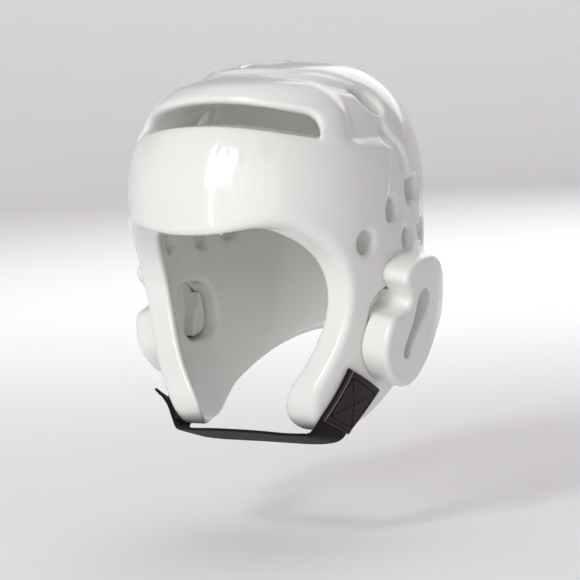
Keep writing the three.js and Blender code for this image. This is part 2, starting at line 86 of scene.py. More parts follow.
def spline(points: np.ndarray, count: int) -> np.ndarray:
    """Smooth path through points, as the part's own splines run.

    Formula: between two points, the cubic whose slopes are half the step between their neighbours.

    Args:
        points: rows of coordinates.
        count: number of steps along the path.

    Returns:
        count + 1 rows of coordinates.
    """
    points = np.asarray(points, float)
    at = np.linspace(0.0, len(points) - 1.0, count + 1)
    start = np.minimum(at.astype(int), len(points) - 2)
    t = (at - start)[:, None]
    padded = np.vstack([points[:1], points, points[-1:]])
    before, here, there, after = (padded[start + k] for k in range(4))
    slope, slope_next = (there - before) / 2.0, (after - here) / 2.0
    return ((2 * here - 2 * there + slope + slope_next) * t**3
            + (-3 * here + 3 * there - 2 * slope - slope_next) * t**2 + slope * t + here)


def outline_distance(u: np.ndarray, v: np.ndarray, outline: np.ndarray) -> np.ndarray:
    """Signed distance to a closed outline in a plane, negative inside.

    Formula: the least distance to the outline's segments; a point is inside if a ray from it crosses the
    outline an odd number of times.

    Args:
        u: first coordinates.
        v: second coordinates, of the same shape.
        outline: corners of the outline, in order.

    Returns:
        Distances in the shape of u.
    """
    start, end = outline, np.roll(outline, -1, axis=0)
    pu, pv = u.reshape(-1, 1), v.reshape(-1, 1)
    du, dv = (end - start).T
    share = np.clip(((pu - start[:, 0]) * du + (pv - start[:, 1]) * dv) / (du**2 + dv**2 + 1e-12), 0.0, 1.0)
    away = np.hypot(pu - start[:, 0] - share * du, pv - start[:, 1] - share * dv).min(axis=1)
    spans = (start[:, 1] > pv) != (end[:, 1] > pv)
    crossing = start[:, 0] + (pv - start[:, 1]) * du / np.where(dv == 0.0, 1e-12, dv)
    odd = (spans & (pu < crossing)).sum(axis=1) % 2 == 1
    return np.where(odd, -away, away).reshape(u.shape)


def squircle(u: np.ndarray, v: np.ndarray, half_u: float, half_v: float, power: float) -> np.ndarray:
    """Distance along the ray from the middle to a superellipse: r - r / q, q its size through the point."""
    size = ((np.abs(u) / half_u) ** power + (np.abs(v) / half_v) ** power) ** (1.0 / power)
    radius = np.hypot(u, v)
    return np.where(size < 1e-3, -min(half_u, half_v), radius - radius / np.maximum(size, 1e-3))


def oval(u: np.ndarray, v: np.ndarray, length: float, width: float, point: float, lean: float) -> np.ndarray:
    """Distance to a leaning oval whose upper end is drawn out to a point.

    Formula: an ellipse whose half width shrinks by point * (v / half length)^2 above its middle.
    """
    along = v * math.cos(lean) - u * math.sin(lean)
    across = u * math.cos(lean) + v * math.sin(lean)
    share = np.clip(along / (length / 2.0), 0.0, 1.0)
    half = np.maximum(width / 2.0 * (1.0 - point * share**2), 1.0)
    size = np.hypot(across / half, along / (length / 2.0))
    radius = np.hypot(u, v)
    return np.where(size < 1e-3, -width / 2.0, radius - radius / np.maximum(size, 1e-3))


@dataclass
class FieldGrid:
    """Regular grid of points that a distance field is sampled on, in millimetres."""

    low: tuple[float, float, float]
    high: tuple[float, float, float]
    step: float
    axes: list[np.ndarray] = field(init=False)

    def __post_init__(self) -> None:
        """Lays out the grid's three axes."""
        self.axes = [np.arange(a, b + self.step, self.step) for a, b in zip(self.low, self.high)]

    def points(self) -> tuple[np.ndarray, np.ndarray, np.ndarray]:
        """Open arrays of the three coordinates, which broadcast to the whole grid."""
        x, y, z = self.axes
        return x[:, None, None], y[None, :, None], z[None, None, :]

    def evened(self, values: np.ndarray) -> np.ndarray:
        """Field divided by the length of its own gradient, which makes it a distance near its surface."""
        return values / np.maximum(self.steepness(values), 1e-6)

    def steepness(self, values: np.ndarray) -> np.ndarray:
        """Length of a field's gradient, per millimetre."""
        parts = np.gradient(values, self.step)
        return np.sqrt(parts[0] ** 2 + parts[1] ** 2 + parts[2] ** 2)

    def near(self, middle: np.ndarray, reach: float) -> tuple[slice, slice, slice]:
        """Slices of the grid within reach of a point along each axis."""
        spans = []
        for axis, centre in zip(self.axes, middle):
            inside = np.flatnonzero(np.abs(axis - centre) <= reach)
            spans.append(slice(int(inside[0]), int(inside[-1]) + 1))
        return tuple(spans)

    def sample(self, values: np.ndarray, spots: np.ndarray) -> np.ndarray:
        """Field at spots given in grid cells, blended linearly between the eight corners around each."""
        top = np.array(values.shape) - 2
        base = np.clip(np.floor(spots).astype(int), 0, top)
        t = spots - base
        total = np.zeros(len(spots))
        for corner in product((0, 1), repeat=3):
            weight = np.prod(np.where(corner, t, 1.0 - t), axis=1)
            total += weight * values[tuple((base + corner).T)]
        return total

    def skin(self, values: np.ndarray, rounds: int) -> tuple[np.ndarray, np.ndarray]:
        """Closed quad mesh of the surface where a field is zero.

        Formula: each cell that the surface passes through holds one corner, at the mean of its crossings of
        the cell's edges. Each grid edge that it crosses joins the four cells around it. The corners are then
        evened out among their neighbours and moved along the gradient back to the surface.

        Args:
            values: the field, negative inside.
            rounds: how many times the corners are evened out.

        Returns:
            Corners in millimetres, and quads of corner numbers that face outwards.
        """
        inside = values < 0.0
        shape = np.array(values.shape) - 1
        count = sum(
            inside[i:shape[0] + i, j:shape[1] + j, k:shape[2] + k].astype(np.int8)
            for i, j, k in product((0, 1), repeat=3)
        )
        active = (count > 0) & (count < 8)
        cells = np.argwhere(active)
        number = np.full(active.shape, -1, np.int64)
        number[active] = np.arange(len(cells))
        spots = np.zeros((len(cells), 3))
        hits = np.zeros(len(cells))
        for axis in range(3):
            unit = np.eye(3, dtype=int)[axis]
            others = [k for k in range(3) if k != axis]
            for shift in product((0, 1), repeat=2):
                offset = np.zeros(3, int)
                offset[others] = shift
                a = values[tuple((cells + offset).T)]
                b = values[tuple((cells + offset + unit).T)]
                crosses = (a < 0.0) != (b < 0.0)
                share = np.where(crosses, a / np.where(crosses, a - b, 1.0), 0.0)
                spot = cells + offset + share[:, None] * unit
                spots[crosses] += spot[crosses]
                hits += crosses
        spots /= hits[:, None]
        quads = []
        for axis in range(3):
            unit, e_u, e_v = (np.eye(3, dtype=int)[(axis + k) % 3] for k in range(3))
            low = [slice(1, -1)] * 3
            high = [slice(1, -1)] * 3
            low[axis], high[axis] = slice(0, -1), slice(1, None)
            changes = np.argwhere(inside[tuple(low)] != inside[tuple(high)])
            edge = changes + 1 - unit
            ring = [edge, edge - e_u, edge - e_u - e_v, edge - e_v]
            quad = np.stack([number[tuple(cell.T)] for cell in ring], axis=1)
            leaving = inside[tuple(edge.T)]
            quads.append(np.where(leaving[:, None], quad, quad[:, ::-1]))
        faces = np.vstack(quads)
        slopes = list(np.gradient(values))
        for _ in range(rounds):
            spots = self.settled(values, slopes, self.evened_out(spots, faces))
        return spots * self.step + np.array([axis[0] for axis in self.axes]), faces

    @staticmethod
    def evened_out(spots: np.ndarray, faces: np.ndarray) -> np.ndarray:
        """Each corner moved half way to the mean of its neighbours along the quads' sides."""
        ends = np.vstack([faces[:, [k, (k + 1) % 4]] for k in range(4)])
        ends = np.vstack([ends, ends[:, ::-1]])
        weight = np.bincount(ends[:, 0], minlength=len(spots))
        mean = np.stack([
            np.bincount(ends[:, 0], spots[ends[:, 1], k], len(spots)) / weight for k in range(3)
        ], axis=1)
        return spots * 0.5 + mean * 0.5

    def settled(self, values: np.ndarray, slopes: list[np.ndarray], spots: np.ndarray) -> np.ndarray:
        """Corners moved to the surface by two steps of the field over its slope."""
        for _ in range(2):
            slope = np.stack([self.sample(part, spots) for part in slopes], axis=1)
            value = self.sample(values, spots)
            move = value[:, None] * slope / np.maximum((slope**2).sum(axis=1), 1e-6)[:, None]
            spots = spots - np.clip(move, -0.7, 0.7)
        return spots


def mesh_piece(name: str, points: np.ndarray, faces: np.ndarray,
               uv: np.ndarray | None = None) -> bpy.types.Object:
    """Smooth mesh object at the origin.

    Args:
        name: the piece's plain name.
        points: corners in millimetres.
        faces: rows of three or four corner numbers.
        uv: two coordinates in metres for each corner of each face.

    Returns:
        The new object, linked to the scene.
    """
    width = faces.shape[1]
    mesh = bpy.data.meshes.new(name)
    mesh.vertices.add(len(points))
    mesh.vertices.foreach_set("co", (points * MM).astype(np.float32).ravel())
    mesh.loops.add(faces.size)
    mesh.loops.foreach_set("vertex_index", faces.astype(np.int32).ravel())
    mesh.polygons.add(len(faces))
    mesh.polygons.foreach_set("loop_start", np.arange(0, faces.size, width, dtype=np.int32))
    mesh.update(calc_edges=True)
    mesh.polygons.foreach_set("use_smooth", np.ones(len(faces), bool))
    if uv is not None:
        layer = mesh.uv_layers.new(name="weave")
        layer.data.foreach_set("uv", uv.astype(np.float32).ravel())
    mesh.validate()
    piece = bpy.data.objects.new(name, mesh)
    bpy.context.scene.collection.objects.link(piece)
    return piece


@dataclass(frozen=True)
class Taper:
    """How far a half size of the skirt narrows towards its foot."""

    share: float
    power: float

    def at(self, depth: np.ndarray) -> np.ndarray:
        """Share of the half size left at a depth, as 1 - share * depth^power."""
        return 1.0 - self.share * depth**self.power


@dataclass(frozen=True)
class ShellForm:
    """The shell's plain form and its named sizes, in millimetres and radians."""

    foam: float = 18.0
    half_width: float = 90.5
    front_reach: float = 113.0
    back_reach: float = 109.0
    dome_height: float = 98.0
    skirt_depth: float = 150.0
    crown_shift: float = 9.0
    dome_power: float = 2.57
    plan_power: float = 2.18
    width_taper: Taper = Taper(0.33, 2.6)
    front_taper: Taper = Taper(0.24, 1.5)
    back_taper: Taper = Taper(0.40, 2.0)
    band_drop: float = 37.0
    band_fall: float = 20.0
    band_end: float = math.radians(100.0)
    ear_ahead: float = 6.5
    ear_below: float = 71.0
    ear_half_length: float = 24.5
    ear_half_height: float = 20.0
    ear_power: float = 2.67

    @property
    def equator(self) -> float:
        """Height of the widest level."""
        return self.foam - self.dome_height

    @property
    def middle(self) -> float:
        """Place of the section's middle along y."""
        return -self.crown_shift

    def ear_opening(self, along: np.ndarray, up: np.ndarray) -> np.ndarray:
        """Distance in side view to the opening over an ear, for places taken from its middle."""
        return squircle(along, up, self.ear_half_length, self.ear_half_height, self.ear_power)

    @property
    def ear_middle(self) -> tuple[float, float]:
        """Middle (y, z) of the opening over an ear."""
        return self.middle - self.ear_ahead, self.equator - self.ear_below

    def reach(self, along: np.ndarray, depth: np.ndarray, grow: float) -> np.ndarray:
        """Half length of the section in front of or behind its middle."""
        front = self.front_reach * self.front_taper.at(depth) + grow
        back = self.back_reach * self.back_taper.at(depth) + grow
        return np.where(along < 0.0, front, back)

    def plan(self, x: np.ndarray, y: np.ndarray, z: np.ndarray, grow: float) -> tuple[np.ndarray, np.ndarray]:
        """Size of the plan figure through a point, as a share of the widest, and the point's turn.

        Formula: ((|x| / half)^p + (|y| / reach)^p)^(1/p); the turn's tangent is the ratio of the two shares
        to the power p/2.
        """
        rise = z - self.equator
        depth = np.clip(-rise / self.skirt_depth, 0.0, None)
        upward = np.clip(rise / (self.dome_height + grow), 0.0, 1.2)
        half = self.half_width * self.width_taper.at(depth) + grow
        along = y - self.middle - self.crown_shift * upward**2
        across = np.abs(x) / half
        ahead = np.abs(along) / self.reach(along, depth, grow)
        power = self.plan_power
        turn = np.arctan2(across ** (power / 2), -np.sign(along) * ahead ** (power / 2))
        return (across**power + ahead**power) ** (1.0 / power), turn

    def distance(self, x: np.ndarray, y: np.ndarray, z: np.ndarray, grow: float,
                 grid: FieldGrid) -> np.ndarray:
        """Distance to the plain form, grown by some millimetres.

        Formula: ((plan)^n + (rise / height)^n)^(1/n) - 1 over its own gradient; below the widest level only
        the plan counts.
        """
        plan, _ = self.plan(x, y, z, grow)
        upward = np.clip((z - self.equator) / (self.dome_height + grow), 0.0, None)
        size = (plan**self.dome_power + upward**self.dome_power) ** (1.0 / self.dome_power)
        return grid.evened(size - 1.0)

    def band_top(self, turn: np.ndarray | float) -> np.ndarray:
        """Height of the forehead band's top edge, which falls by sin^2 of the turn."""
        bend = np.sin(np.minimum(turn, self.band_end) * 0.9)
        return -(self.band_drop - self.foam) - self.band_fall * bend**2

    def spot(self, turn: float, height: float) -> np.ndarray:
        """Point of the plain outer surface at a turn and a height."""
        rise = height - self.equator
        depth = max(-rise / self.skirt_depth, 0.0)
        upward = max(rise / self.dome_height, 0.0)
        shrink = max(1.0 - upward**self.dome_power, 0.0) ** (1.0 / self.dome_power)
        across, ahead = math.sin(turn), -math.cos(turn)
        power = 2.0 / self.plan_power
        reach = float(self.reach(np.array(ahead), np.array(depth), 0.0))
        half = self.half_width * self.width_taper.at(depth)
        return np.array([
            half * shrink * math.copysign(abs(across) ** power, across),
            self.middle + self.crown_shift * upward**2
            + reach * shrink * math.copysign(abs(ahead) ** power, ahead),
            height,
        ])

    def side(self, y: np.ndarray, z: np.ndarray, grow: float) -> np.ndarray:
        """Half width of the plain form at a place in side view."""
        depth = np.clip((self.equator - z) / self.skirt_depth, 0.0, None)
        half = self.half_width * self.width_taper.at(depth) + grow
        along = y - self.middle
        share = np.abs(along) / (self.reach(along, depth, 0.0) + grow)
        return half * (1.0 - share**self.plan_power) ** (1.0 / self.plan_power)

    def place(self, reach: np.ndarray, drop: np.ndarray) -> np.ndarray:
        """Places in side view (y, z) for shares of the reach and of the skirt's depth."""
        length = np.where(reach < 0.0, self.front_reach, self.back_reach)
        return np.stack([self.middle + reach * length, self.equator - drop * self.skirt_depth], axis=-1)

    def tangent_frame(self, turn: float, height: float) -> np.ndarray:
        """Rows: a point of the outer surface, and the directions along it, up it and out of it."""
        small = 0.01
        middle = self.spot(turn, height)
        along = self.spot(turn + small, height) - self.spot(turn - small, height)
        up = self.spot(turn, height + 1.0) - self.spot(turn, height - 1.0)
        along /= np.linalg.norm(along)
        out = np.cross(along, up)
        out /= np.linalg.norm(out)
        return np.stack([middle, along, np.cross(out, along), out])


@dataclass(frozen=True)
class DippedSkin:
    """Glossy ivory skin of dipped foam: pale vinyl with a faint unevenness and a few soft wrinkles."""

    name: str = "dipped_foam_skin"
    pale: tuple[float, float, float, float] = (0.775, 0.78, 0.745, 1.0)
    shade: tuple[float, float, float, float] = (0.745, 0.745, 0.72, 1.0)
    peel_per_metre: float = 420.0
    dent_per_metre: float = 30.0
    least_rough: float = 0.20
    most_rough: float = 0.30
    coat: float = 0.5
    coat_roughness: float = 0.05
    crease_place: tuple[float, float, float] = (0.032, -0.113, -0.036)
    crease_reach: float = 0.048
    crease_strength: float = 0.42

    def material(self) -> bpy.types.Material:
        """Builds the material: colour, roughness and bump from noise on Object coordinates."""
        made = bpy.data.materials.new(self.name)
        made.use_nodes = True
        tree = Nodes(made)
        shader = tree.shader
        shader.inputs["Coat Weight"].default_value = self.coat
        shader.inputs["Coat Roughness"].default_value = self.coat_roughness
        shader.inputs["Coat IOR"].default_value = 1.45
        shader.inputs["IOR"].default_value = 1.42
        spot = tree.add("ShaderNodeTexCoord").outputs["Object"]
        cloud = tree.noise(spot, 11.0, 3.0, 0.55)
        tint = tree.add("ShaderNodeMix", data_type="RGBA")
        tree.join(tree.ramp(cloud, 0.35, 0.75), tint.inputs[0])
        tint.inputs[6].default_value = self.pale
        tint.inputs[7].default_value = self.shade
        tree.join(tint.outputs[2], shader.inputs["Base Color"])
        rough = tree.add("ShaderNodeMapRange")
        rough.inputs["To Min"].default_value = self.least_rough
        rough.inputs["To Max"].default_value = self.most_rough
        tree.join(tree.noise(spot, 38.0, 4.0, 0.6), rough.inputs["Value"])
        tree.join(rough.outputs["Result"], shader.inputs["Roughness"])
        peel = tree.bump(tree.noise(spot, self.peel_per_metre, 2.0, 0.5), 0.05, 0.0003, None)
        upright = tree.add("ShaderNodeMapping")
        upright.inputs["Scale"].default_value = (1.0, 1.0, 0.4)
        tree.join(spot, upright.inputs["Vector"])
        swell = tree.noise(upright.outputs["Vector"], self.dent_per_metre, 1.0, 0.4)
        dents = tree.bump(swell, 0.2, 0.004, peel)
        tree.join(self.wrinkles(tree, spot, dents), shader.inputs["Normal"])
        return made

    def wrinkles(self, tree: "Nodes", spot: bpy.types.NodeSocket,
                 normal: bpy.types.NodeSocket) -> bpy.types.NodeSocket:
        """Upright wrinkles where the skin is stretched below the slot, fading away from their middle."""
        long = tree.add("ShaderNodeMapping")
        long.inputs["Scale"].default_value = (1.0, 0.5, 0.35)
        long.inputs["Rotation"].default_value = (0.0, 0.35, 0.0)
        tree.join(spot, long.inputs["Vector"])
        fold = tree.noise(long.outputs["Vector"], 85.0, 2.0, 0.55)
        away = tree.add("ShaderNodeVectorMath", operation="DISTANCE")
        away.inputs[1].default_value = self.crease_place
        tree.join(spot, away.inputs[0])
        near = tree.add("ShaderNodeMapRange", interpolation_type="SMOOTHSTEP")
        near.inputs["From Min"].default_value = self.crease_reach
        near.inputs["From Max"].default_value = 0.0
        tree.join(away.outputs["Value"], near.inputs["Value"])
        both = tree.add("ShaderNodeMath", operation="MULTIPLY")
        tree.join(fold, both.inputs[0])
        tree.join(near.outputs["Result"], both.inputs[1])
        return tree.bump(both.outputs[0], self.crease_strength, 0.004, normal)


@dataclass(frozen=True)
class WovenCloth:
    """Black webbing: crossing ribs on the piece's own UV map, in metres, with a painted highlight along the
    front edge where one is set.
    """

    name: str
    dark: tuple[float, float, float, float] = (0.003, 0.002, 0.002, 1.0)
    light: tuple[float, float, float, float] = (0.012, 0.008, 0.007, 1.0)
    rib: float = 0.0011
    roughness: float = 0.8
    sheen: float = 0.06
    # Width in metres and colour of a pale strip painted along the front edge as a highlight; a width of 0
    # leaves it out.
    painted_highlight_width: float = 0.0
    painted_highlight_colour: tuple[float, float, float, float] = (0.17, 0.155, 0.145, 1.0)
    bump: float = 0.5

    def material(self) -> bpy.types.Material:
        """Builds the material: two rib waves crossed, fibre noise, and the painted highlight along the front
        edge where there is one.
        """
        made = bpy.data.materials.new(self.name)
        made.use_nodes = True
        tree = Nodes(made)
        shader = tree.shader
        shader.inputs["Roughness"].default_value = self.roughness
        shader.inputs["Specular IOR Level"].default_value = 0.2
        shader.inputs["Sheen Weight"].default_value = self.sheen
        shader.inputs["Sheen Roughness"].default_value = 0.5
        uv = tree.add("ShaderNodeUVMap", uv_map="weave").outputs["UV"]
        split = tree.add("ShaderNodeSeparateXYZ")
        tree.join(uv, split.inputs[0])
        waves = [self.wave(tree, split.outputs[k], self.rib * size) for k, size in ((0, 1.0), (1, 1.6))]
        weave = tree.add("ShaderNodeMath", operation="MULTIPLY")
        for wave, slot in zip(waves, weave.inputs):
            tree.join(wave, slot)
        fibres = tree.noise(uv, 2600.0, 2.0, 0.6)
        mixed = tree.add("ShaderNodeMath", operation="MULTIPLY_ADD")
        mixed.inputs[1].default_value = 0.45
        tree.join(fibres, mixed.inputs[0])
        tree.join(weave.outputs[0], mixed.inputs[2])
        tint = tree.add("ShaderNodeMix", data_type="RGBA")
        tree.join(mixed.outputs[0], tint.inputs[0])
        tint.inputs[6].default_value = self.dark
        tint.inputs[7].default_value = self.light
        colour = tint.outputs[2]
        # Painted highlight: a pale strip along the outer face's front edge stands in for light catching that
        # edge.
        if self.painted_highlight_width > 0.0:
            edge = tree.add("ShaderNodeMix", data_type="RGBA")
            tree.join(tree.below(split.outputs[1], self.painted_highlight_width), edge.inputs[0])
            tree.join(colour, edge.inputs[6])
            edge.inputs[7].default_value = self.painted_highlight_colour
            colour = edge.outputs[2]
        tree.join(colour, shader.inputs["Base Color"])
        tree.join(tree.bump(mixed.outputs[0], self.bump, 0.0004, None), shader.inputs["Normal"])
        return made

    @staticmethod
    def wave(tree: "Nodes", along: bpy.types.NodeSocket, pitch: float) -> bpy.types.NodeSocket:
        """Rib wave along one UV direction: 0.5 + 0.5 sin(2 pi u / pitch)."""
        turns = tree.add("ShaderNodeMath", operation="MULTIPLY")
        turns.inputs[1].default_value = 2.0 * math.pi / pitch
        tree.join(along, turns.inputs[0])
        sine = tree.add("ShaderNodeMath", operation="SINE")
        tree.join(turns.outputs[0], sine.inputs[0])
        half = tree.add("ShaderNodeMath", operation="MULTIPLY_ADD")
        half.inputs[1].default_value = 0.5
        half.inputs[2].default_value = 0.5
        tree.join(sine.outputs[0], half.inputs[0])
        return half.outputs[0]


class Nodes:
    """Small helper that adds and joins the nodes of one material."""

    def __init__(self, material: bpy.types.Material) -> None:
        """Takes the material's tree and its surface shader."""
        self.tree = material.node_tree
        self.shader = self.tree.nodes["Principled BSDF"]

    def add(self, kind: str, **settings: object) -> bpy.types.Node:
        """New node with its settings."""
        node = self.tree.nodes.new(kind)
        for name, value in settings.items():
            setattr(node, name, value)
        return node

    def join(self, source: bpy.types.NodeSocket, target: bpy.types.NodeSocket) -> None:
        """Link from one socket to another."""
        self.tree.links.new(source, target)

    def noise(self, spot: bpy.types.NodeSocket, scale: float, detail: float,
              rough: float) -> bpy.types.NodeSocket:
        """Noise value at a place."""
        node = self.add("ShaderNodeTexNoise")
        node.inputs["Scale"].default_value = scale
        node.inputs["Detail"].default_value = detail
        node.inputs["Roughness"].default_value = rough
        self.join(spot, node.inputs["Vector"])
        return node.outputs["Fac"]

    def ramp(self, value: bpy.types.NodeSocket, low: float, high: float) -> bpy.types.NodeSocket:
        """Smooth rise from 0 at low to 1 at high."""
        node = self.add("ShaderNodeMapRange", interpolation_type="SMOOTHSTEP")
        node.inputs["From Min"].default_value = low
        node.inputs["From Max"].default_value = high
        self.join(value, node.inputs["Value"])
        return node.outputs["Result"]

    def below(self, value: bpy.types.NodeSocket, limit: float) -> bpy.types.NodeSocket:
        """1 where a value is under a limit, otherwise 0."""
        node = self.add("ShaderNodeMath", operation="LESS_THAN")
        node.inputs[1].default_value = limit
        self.join(value, node.inputs[0])
        return node.outputs[0]

    def bump(self, height: bpy.types.NodeSocket, strength: float, distance: float,
             normal: bpy.types.NodeSocket | None) -> bpy.types.NodeSocket:
        """Bump of a height, on top of another normal where one is given."""
        node = self.add("ShaderNodeBump")
        node.inputs["Strength"].default_value = strength
        node.inputs["Distance"].default_value = distance
        self.join(height, node.inputs["Height"])
        if normal is not None:
            self.join(normal, node.inputs["Normal"])
        return node.outputs["Normal"]


@dataclass(frozen=True)
class Vent:
    """Round hole through the wall: its turn in degrees, its height and its radius in millimetres."""

    turn: float
    height: float
    radius: float


@dataclass(frozen=True)
class OvalVent:
    """Oval hole whose upper end is drawn out: sizes in millimetres, its lean in radians."""

    length: float
    width: float
    point: float
    lean: float
    lip: float

    def outline(self, side: int) -> Callable[[np.ndarray, np.ndarray], np.ndarray]:
        """Distance in the plane across the hole, leaning to the given side."""
        return lambda u, v: oval(u, v, self.length, self.width, self.point, side * self.lean)


@dataclass
class FoamShell:
    """The dipped shell with its band, slot, roll, channels, vents and rim."""

    form: ShellForm
    skin: bpy.types.Material
    step: float = 1.82
    brow_lip: float = 6.5
    cheek_lip: float = 3.3
    inner_lip: float = 3.5
    band_proud: float = 3.2
    slot_turn: float = math.radians(55.0)
    slot_height: float = 13.0
    slot_aim: float = 77.0
    slot_corner: float = 11.0
    roll_side: float = 27.0
    roll_top: float = 38.0
    roll_proud: float = 4.2
    valley_depth: float = 2.8
    valley_width: float = 4.6
    flank_recess: float = 1.3
    channel_depth: float = 3.5
    step_height: float = 1.1
    uneven: float = 0.12
    slot_low_lip: float = 2.0
    slot_high_lip: float = 8.0
    slot_depth: float = 18.0
    # Turns in degrees between which the band ends, the flank sinks and rises again, and the ledge widens
    band_fade: tuple[float, float] = (88.0, 104.0)
    flank_sinks: tuple[float, float] = (60.0, 70.0)
    flank_rises: tuple[float, float] = (88.0, 100.0)
    ledge_widens: tuple[float, float] = (55.0, 86.0)
    # Width of the ledge at the front and how much wider it is at the side, and the same for its lower edge
    ledge_width: tuple[float, float] = (2.0, 6.0)
    ledge_below: tuple[float, float] = (1.2, 0.8)
    # Shares of the roll's reach, and turns in radians, between which it fades
    roll_fade: tuple[float, float] = (0.6, 1.15)
    roll_end: tuple[float, float] = (1.25, 1.7)
    # Heights between which the channel starts, and those between which it ends
    channel_starts: tuple[float, float] = (-110.0, -74.0)
    channel_ends: tuple[float, float] = (-30.0, -22.0)
    vent_lip: float = 4.2
    ear_lip: float = 3.0
    ear_search: float = 40.0
    pointed_vent: OvalVent = OvalVent(27.0, 15.5, 0.6, 0.65, 3.0)
    pointed_vent_turn: float = math.radians(88.0)
    pointed_vent_height: float = -7.5
    top_vent: OvalVent = OvalVent(42.0, 25.0, 0.25, 0.0, 4.6)
    top_vent_place: float = -17.0
    top_vent_search: float = 36.0
    vents: tuple[Vent, ...] = (
        Vent(72.5, -99.6, 7.6), Vent(87.3, -81.0, 7.7), Vent(103.0, -70.0, 7.8), Vent(95.5, -102.0, 7.0),
        Vent(112.0, -99.0, 6.9),
    )
    # Rim in side view, from the brow down the cheek's front and back along the lower edge: reach, drop
    rim: tuple[tuple[float, float], ...] = (
        (-1.10, 0.085), (-1.01, 0.065), (-0.885, 0.028), (-0.77, 0.036), (-0.69, 0.070), (-0.595, 0.125),
        (-0.505, 0.205), (-0.448, 0.310), (-0.437, 0.420), (-0.463, 0.530), (-0.514, 0.650), (-0.560, 0.755),
        (-0.547, 0.845), (-0.500, 0.907), (-0.400, 0.952), (-0.240, 0.952), (-0.105, 0.938), (0.03, 0.890),
        (0.165, 0.835), (0.345, 0.770), (0.575, 0.675), (0.80, 0.580), (1.00, 0.530), (1.30, 0.520),
    )
    # Line of the valley behind the roll, from the middle to the pointed vent: x, y, z
    valley: tuple[tuple[float, float, float], ...] = (
        (0.0, -53.0, 13.0), (13.0, -54.0, 12.0), (27.0, -55.0, 9.5), (38.0, -49.0, 8.0), (48.0, -40.0, 5.5),
        (57.0, -30.0, 3.0), (63.0, -20.0, 0.0),
    )
    # Front edge of the raised back of the dome, from the middle to above the channel: x, y
    dome_step: tuple[tuple[float, float], ...] = (
        (0.0, -47.0), (14.0, -46.5), (27.0, -43.5), (35.0, -35.0), (42.0, -24.0), (50.0, -16.0), (58.0, -9.0),
        (64.0, -1.0), (70.0, 6.0),
    )
    # Front and rear edge of the channel behind the band: height, turn in front, turn behind, in degrees
    channel: tuple[tuple[float, float, float], ...] = (
        (-112.0, 82.0, 112.0), (-84.0, 83.0, 106.0), (-74.0, 84.0, 103.5), (-61.0, 86.0, 100.5),
        (-43.0, 88.0, 97.0), (-36.0, 88.0, 94.5), (-29.0, 87.5, 92.0), (-22.0, 87.5, 91.7),
        (-14.0, 89.0, 93.5), (-6.0, 90.0, 95.0),
    )

    def build(self) -> bpy.types.Object:
        """Makes the shell's mesh, dresses it and sets it in the frame."""
        form = self.form
        grid = FieldGrid((-97.0, -130.0, -230.0), (97.0, 107.0, 26.0), self.step)
        x, y, z = grid.points()
        outer = form.distance(x, y, z, 0.0, grid) - self.relief(x, y, z)
        inner = -form.distance(x, y, z, -form.foam, grid)
        rim = self.rim_field(y, z)
        lip = self.cheek_lip + (self.brow_lip - self.cheek_lip) * smoothstep(z, -128.0, -92.0)
        body = np.maximum(round_and(outer, rim, lip), round_and(inner, rim, self.inner_lip))
        body = self.with_slot(body, x, y, z)
        for side in Side:
            body = self.with_side_holes(body, grid, side)
        body = self.with_top_vent(body, grid)
        points, faces = grid.skin(body, 4)
        piece = mesh_piece("head_guard_shell", points, faces)
        piece.data.materials.append(self.skin)
        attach(piece, "root")
        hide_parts("foam_shell")
        return piece

    def relief(self, x: np.ndarray, y: np.ndarray, z: np.ndarray) -> np.ndarray:
        """How far the moulded surface stands out of the plain form, in millimetres.

        Formula: the band's half height below its ledge and minus as much above it, plus the roll around the
        slot, minus the valley behind the roll and the channels behind the band.
        """
        form = self.form
        _, turn = form.plan(x, y, z, 0.0)
        rise = np.clip((z - form.equator) / form.dome_height, 0.0, 1.0)
        top = form.band_top(turn)
        ledge_rise = np.clip((top - form.equator) / form.dome_height, 0.0, 1.0)
        power = form.dome_power
        here = (1.0 - rise**power) ** (1.0 / power)
        ledge = (1.0 - ledge_rise**power) ** (1.0 / power)
        radius = np.hypot(form.half_width * np.sin(turn), form.front_reach * np.cos(turn))
        above = np.maximum(np.hypot(z - top, (ledge - here) * radius) - self.slot_height, 0.0)
        above = np.where(z > top, above, 0.0)
        degrees = np.degrees(turn)
        band = self.band_proud / 2.0 * (1.0 - smoothstep(degrees, *self.band_fade))
        lower = band * smoothstep((z - form.equator) / form.skirt_depth, -0.5, 0.0)
        beyond = np.maximum(turn - self.slot_turn, 0.0) * form.half_width
        reach = np.hypot(beyond / self.roll_side, above / self.roll_top)
        front = 1.0 - smoothstep(turn, *self.roll_end)
        roll = self.roll_proud * (1.0 - smoothstep(reach, *self.roll_fade)) * front
        flank = smoothstep(degrees, *self.flank_sinks) * (1.0 - smoothstep(degrees, *self.flank_rises))
        recess = band + self.flank_recess * flank
        upper = roll - recess * np.exp(-above / self.slot_height) - self.valley_field(x, y, z)
        widening = smoothstep(degrees, *self.ledge_widens)
        width = self.ledge_width[0] + self.ledge_width[1] * widening
        below = self.ledge_below[0] + self.ledge_below[1] * widening
        over_ledge = np.clip((z - top + below) / width, 0.0, 1.0)
        band_and_roll = lower + (upper - lower) * over_ledge
        return band_and_roll + self.channel_field(degrees, x, y, z) + self.waviness(x, y, z)

    def waviness(self, x: np.ndarray, y: np.ndarray, z: np.ndarray) -> np.ndarray:
        """Slight hand-made unevenness: three crossing sine waves, some 40 to 90 mm long."""
        return self.uneven * (
            np.sin(x / 9.0 + 1.3 * np.sin(z / 15.0)) * np.cos(y / 13.0 + z / 21.0)
            + 0.7 * np.sin(z / 8.0 + y / 17.0 + 1.1 * np.sin(x / 12.0))
        )

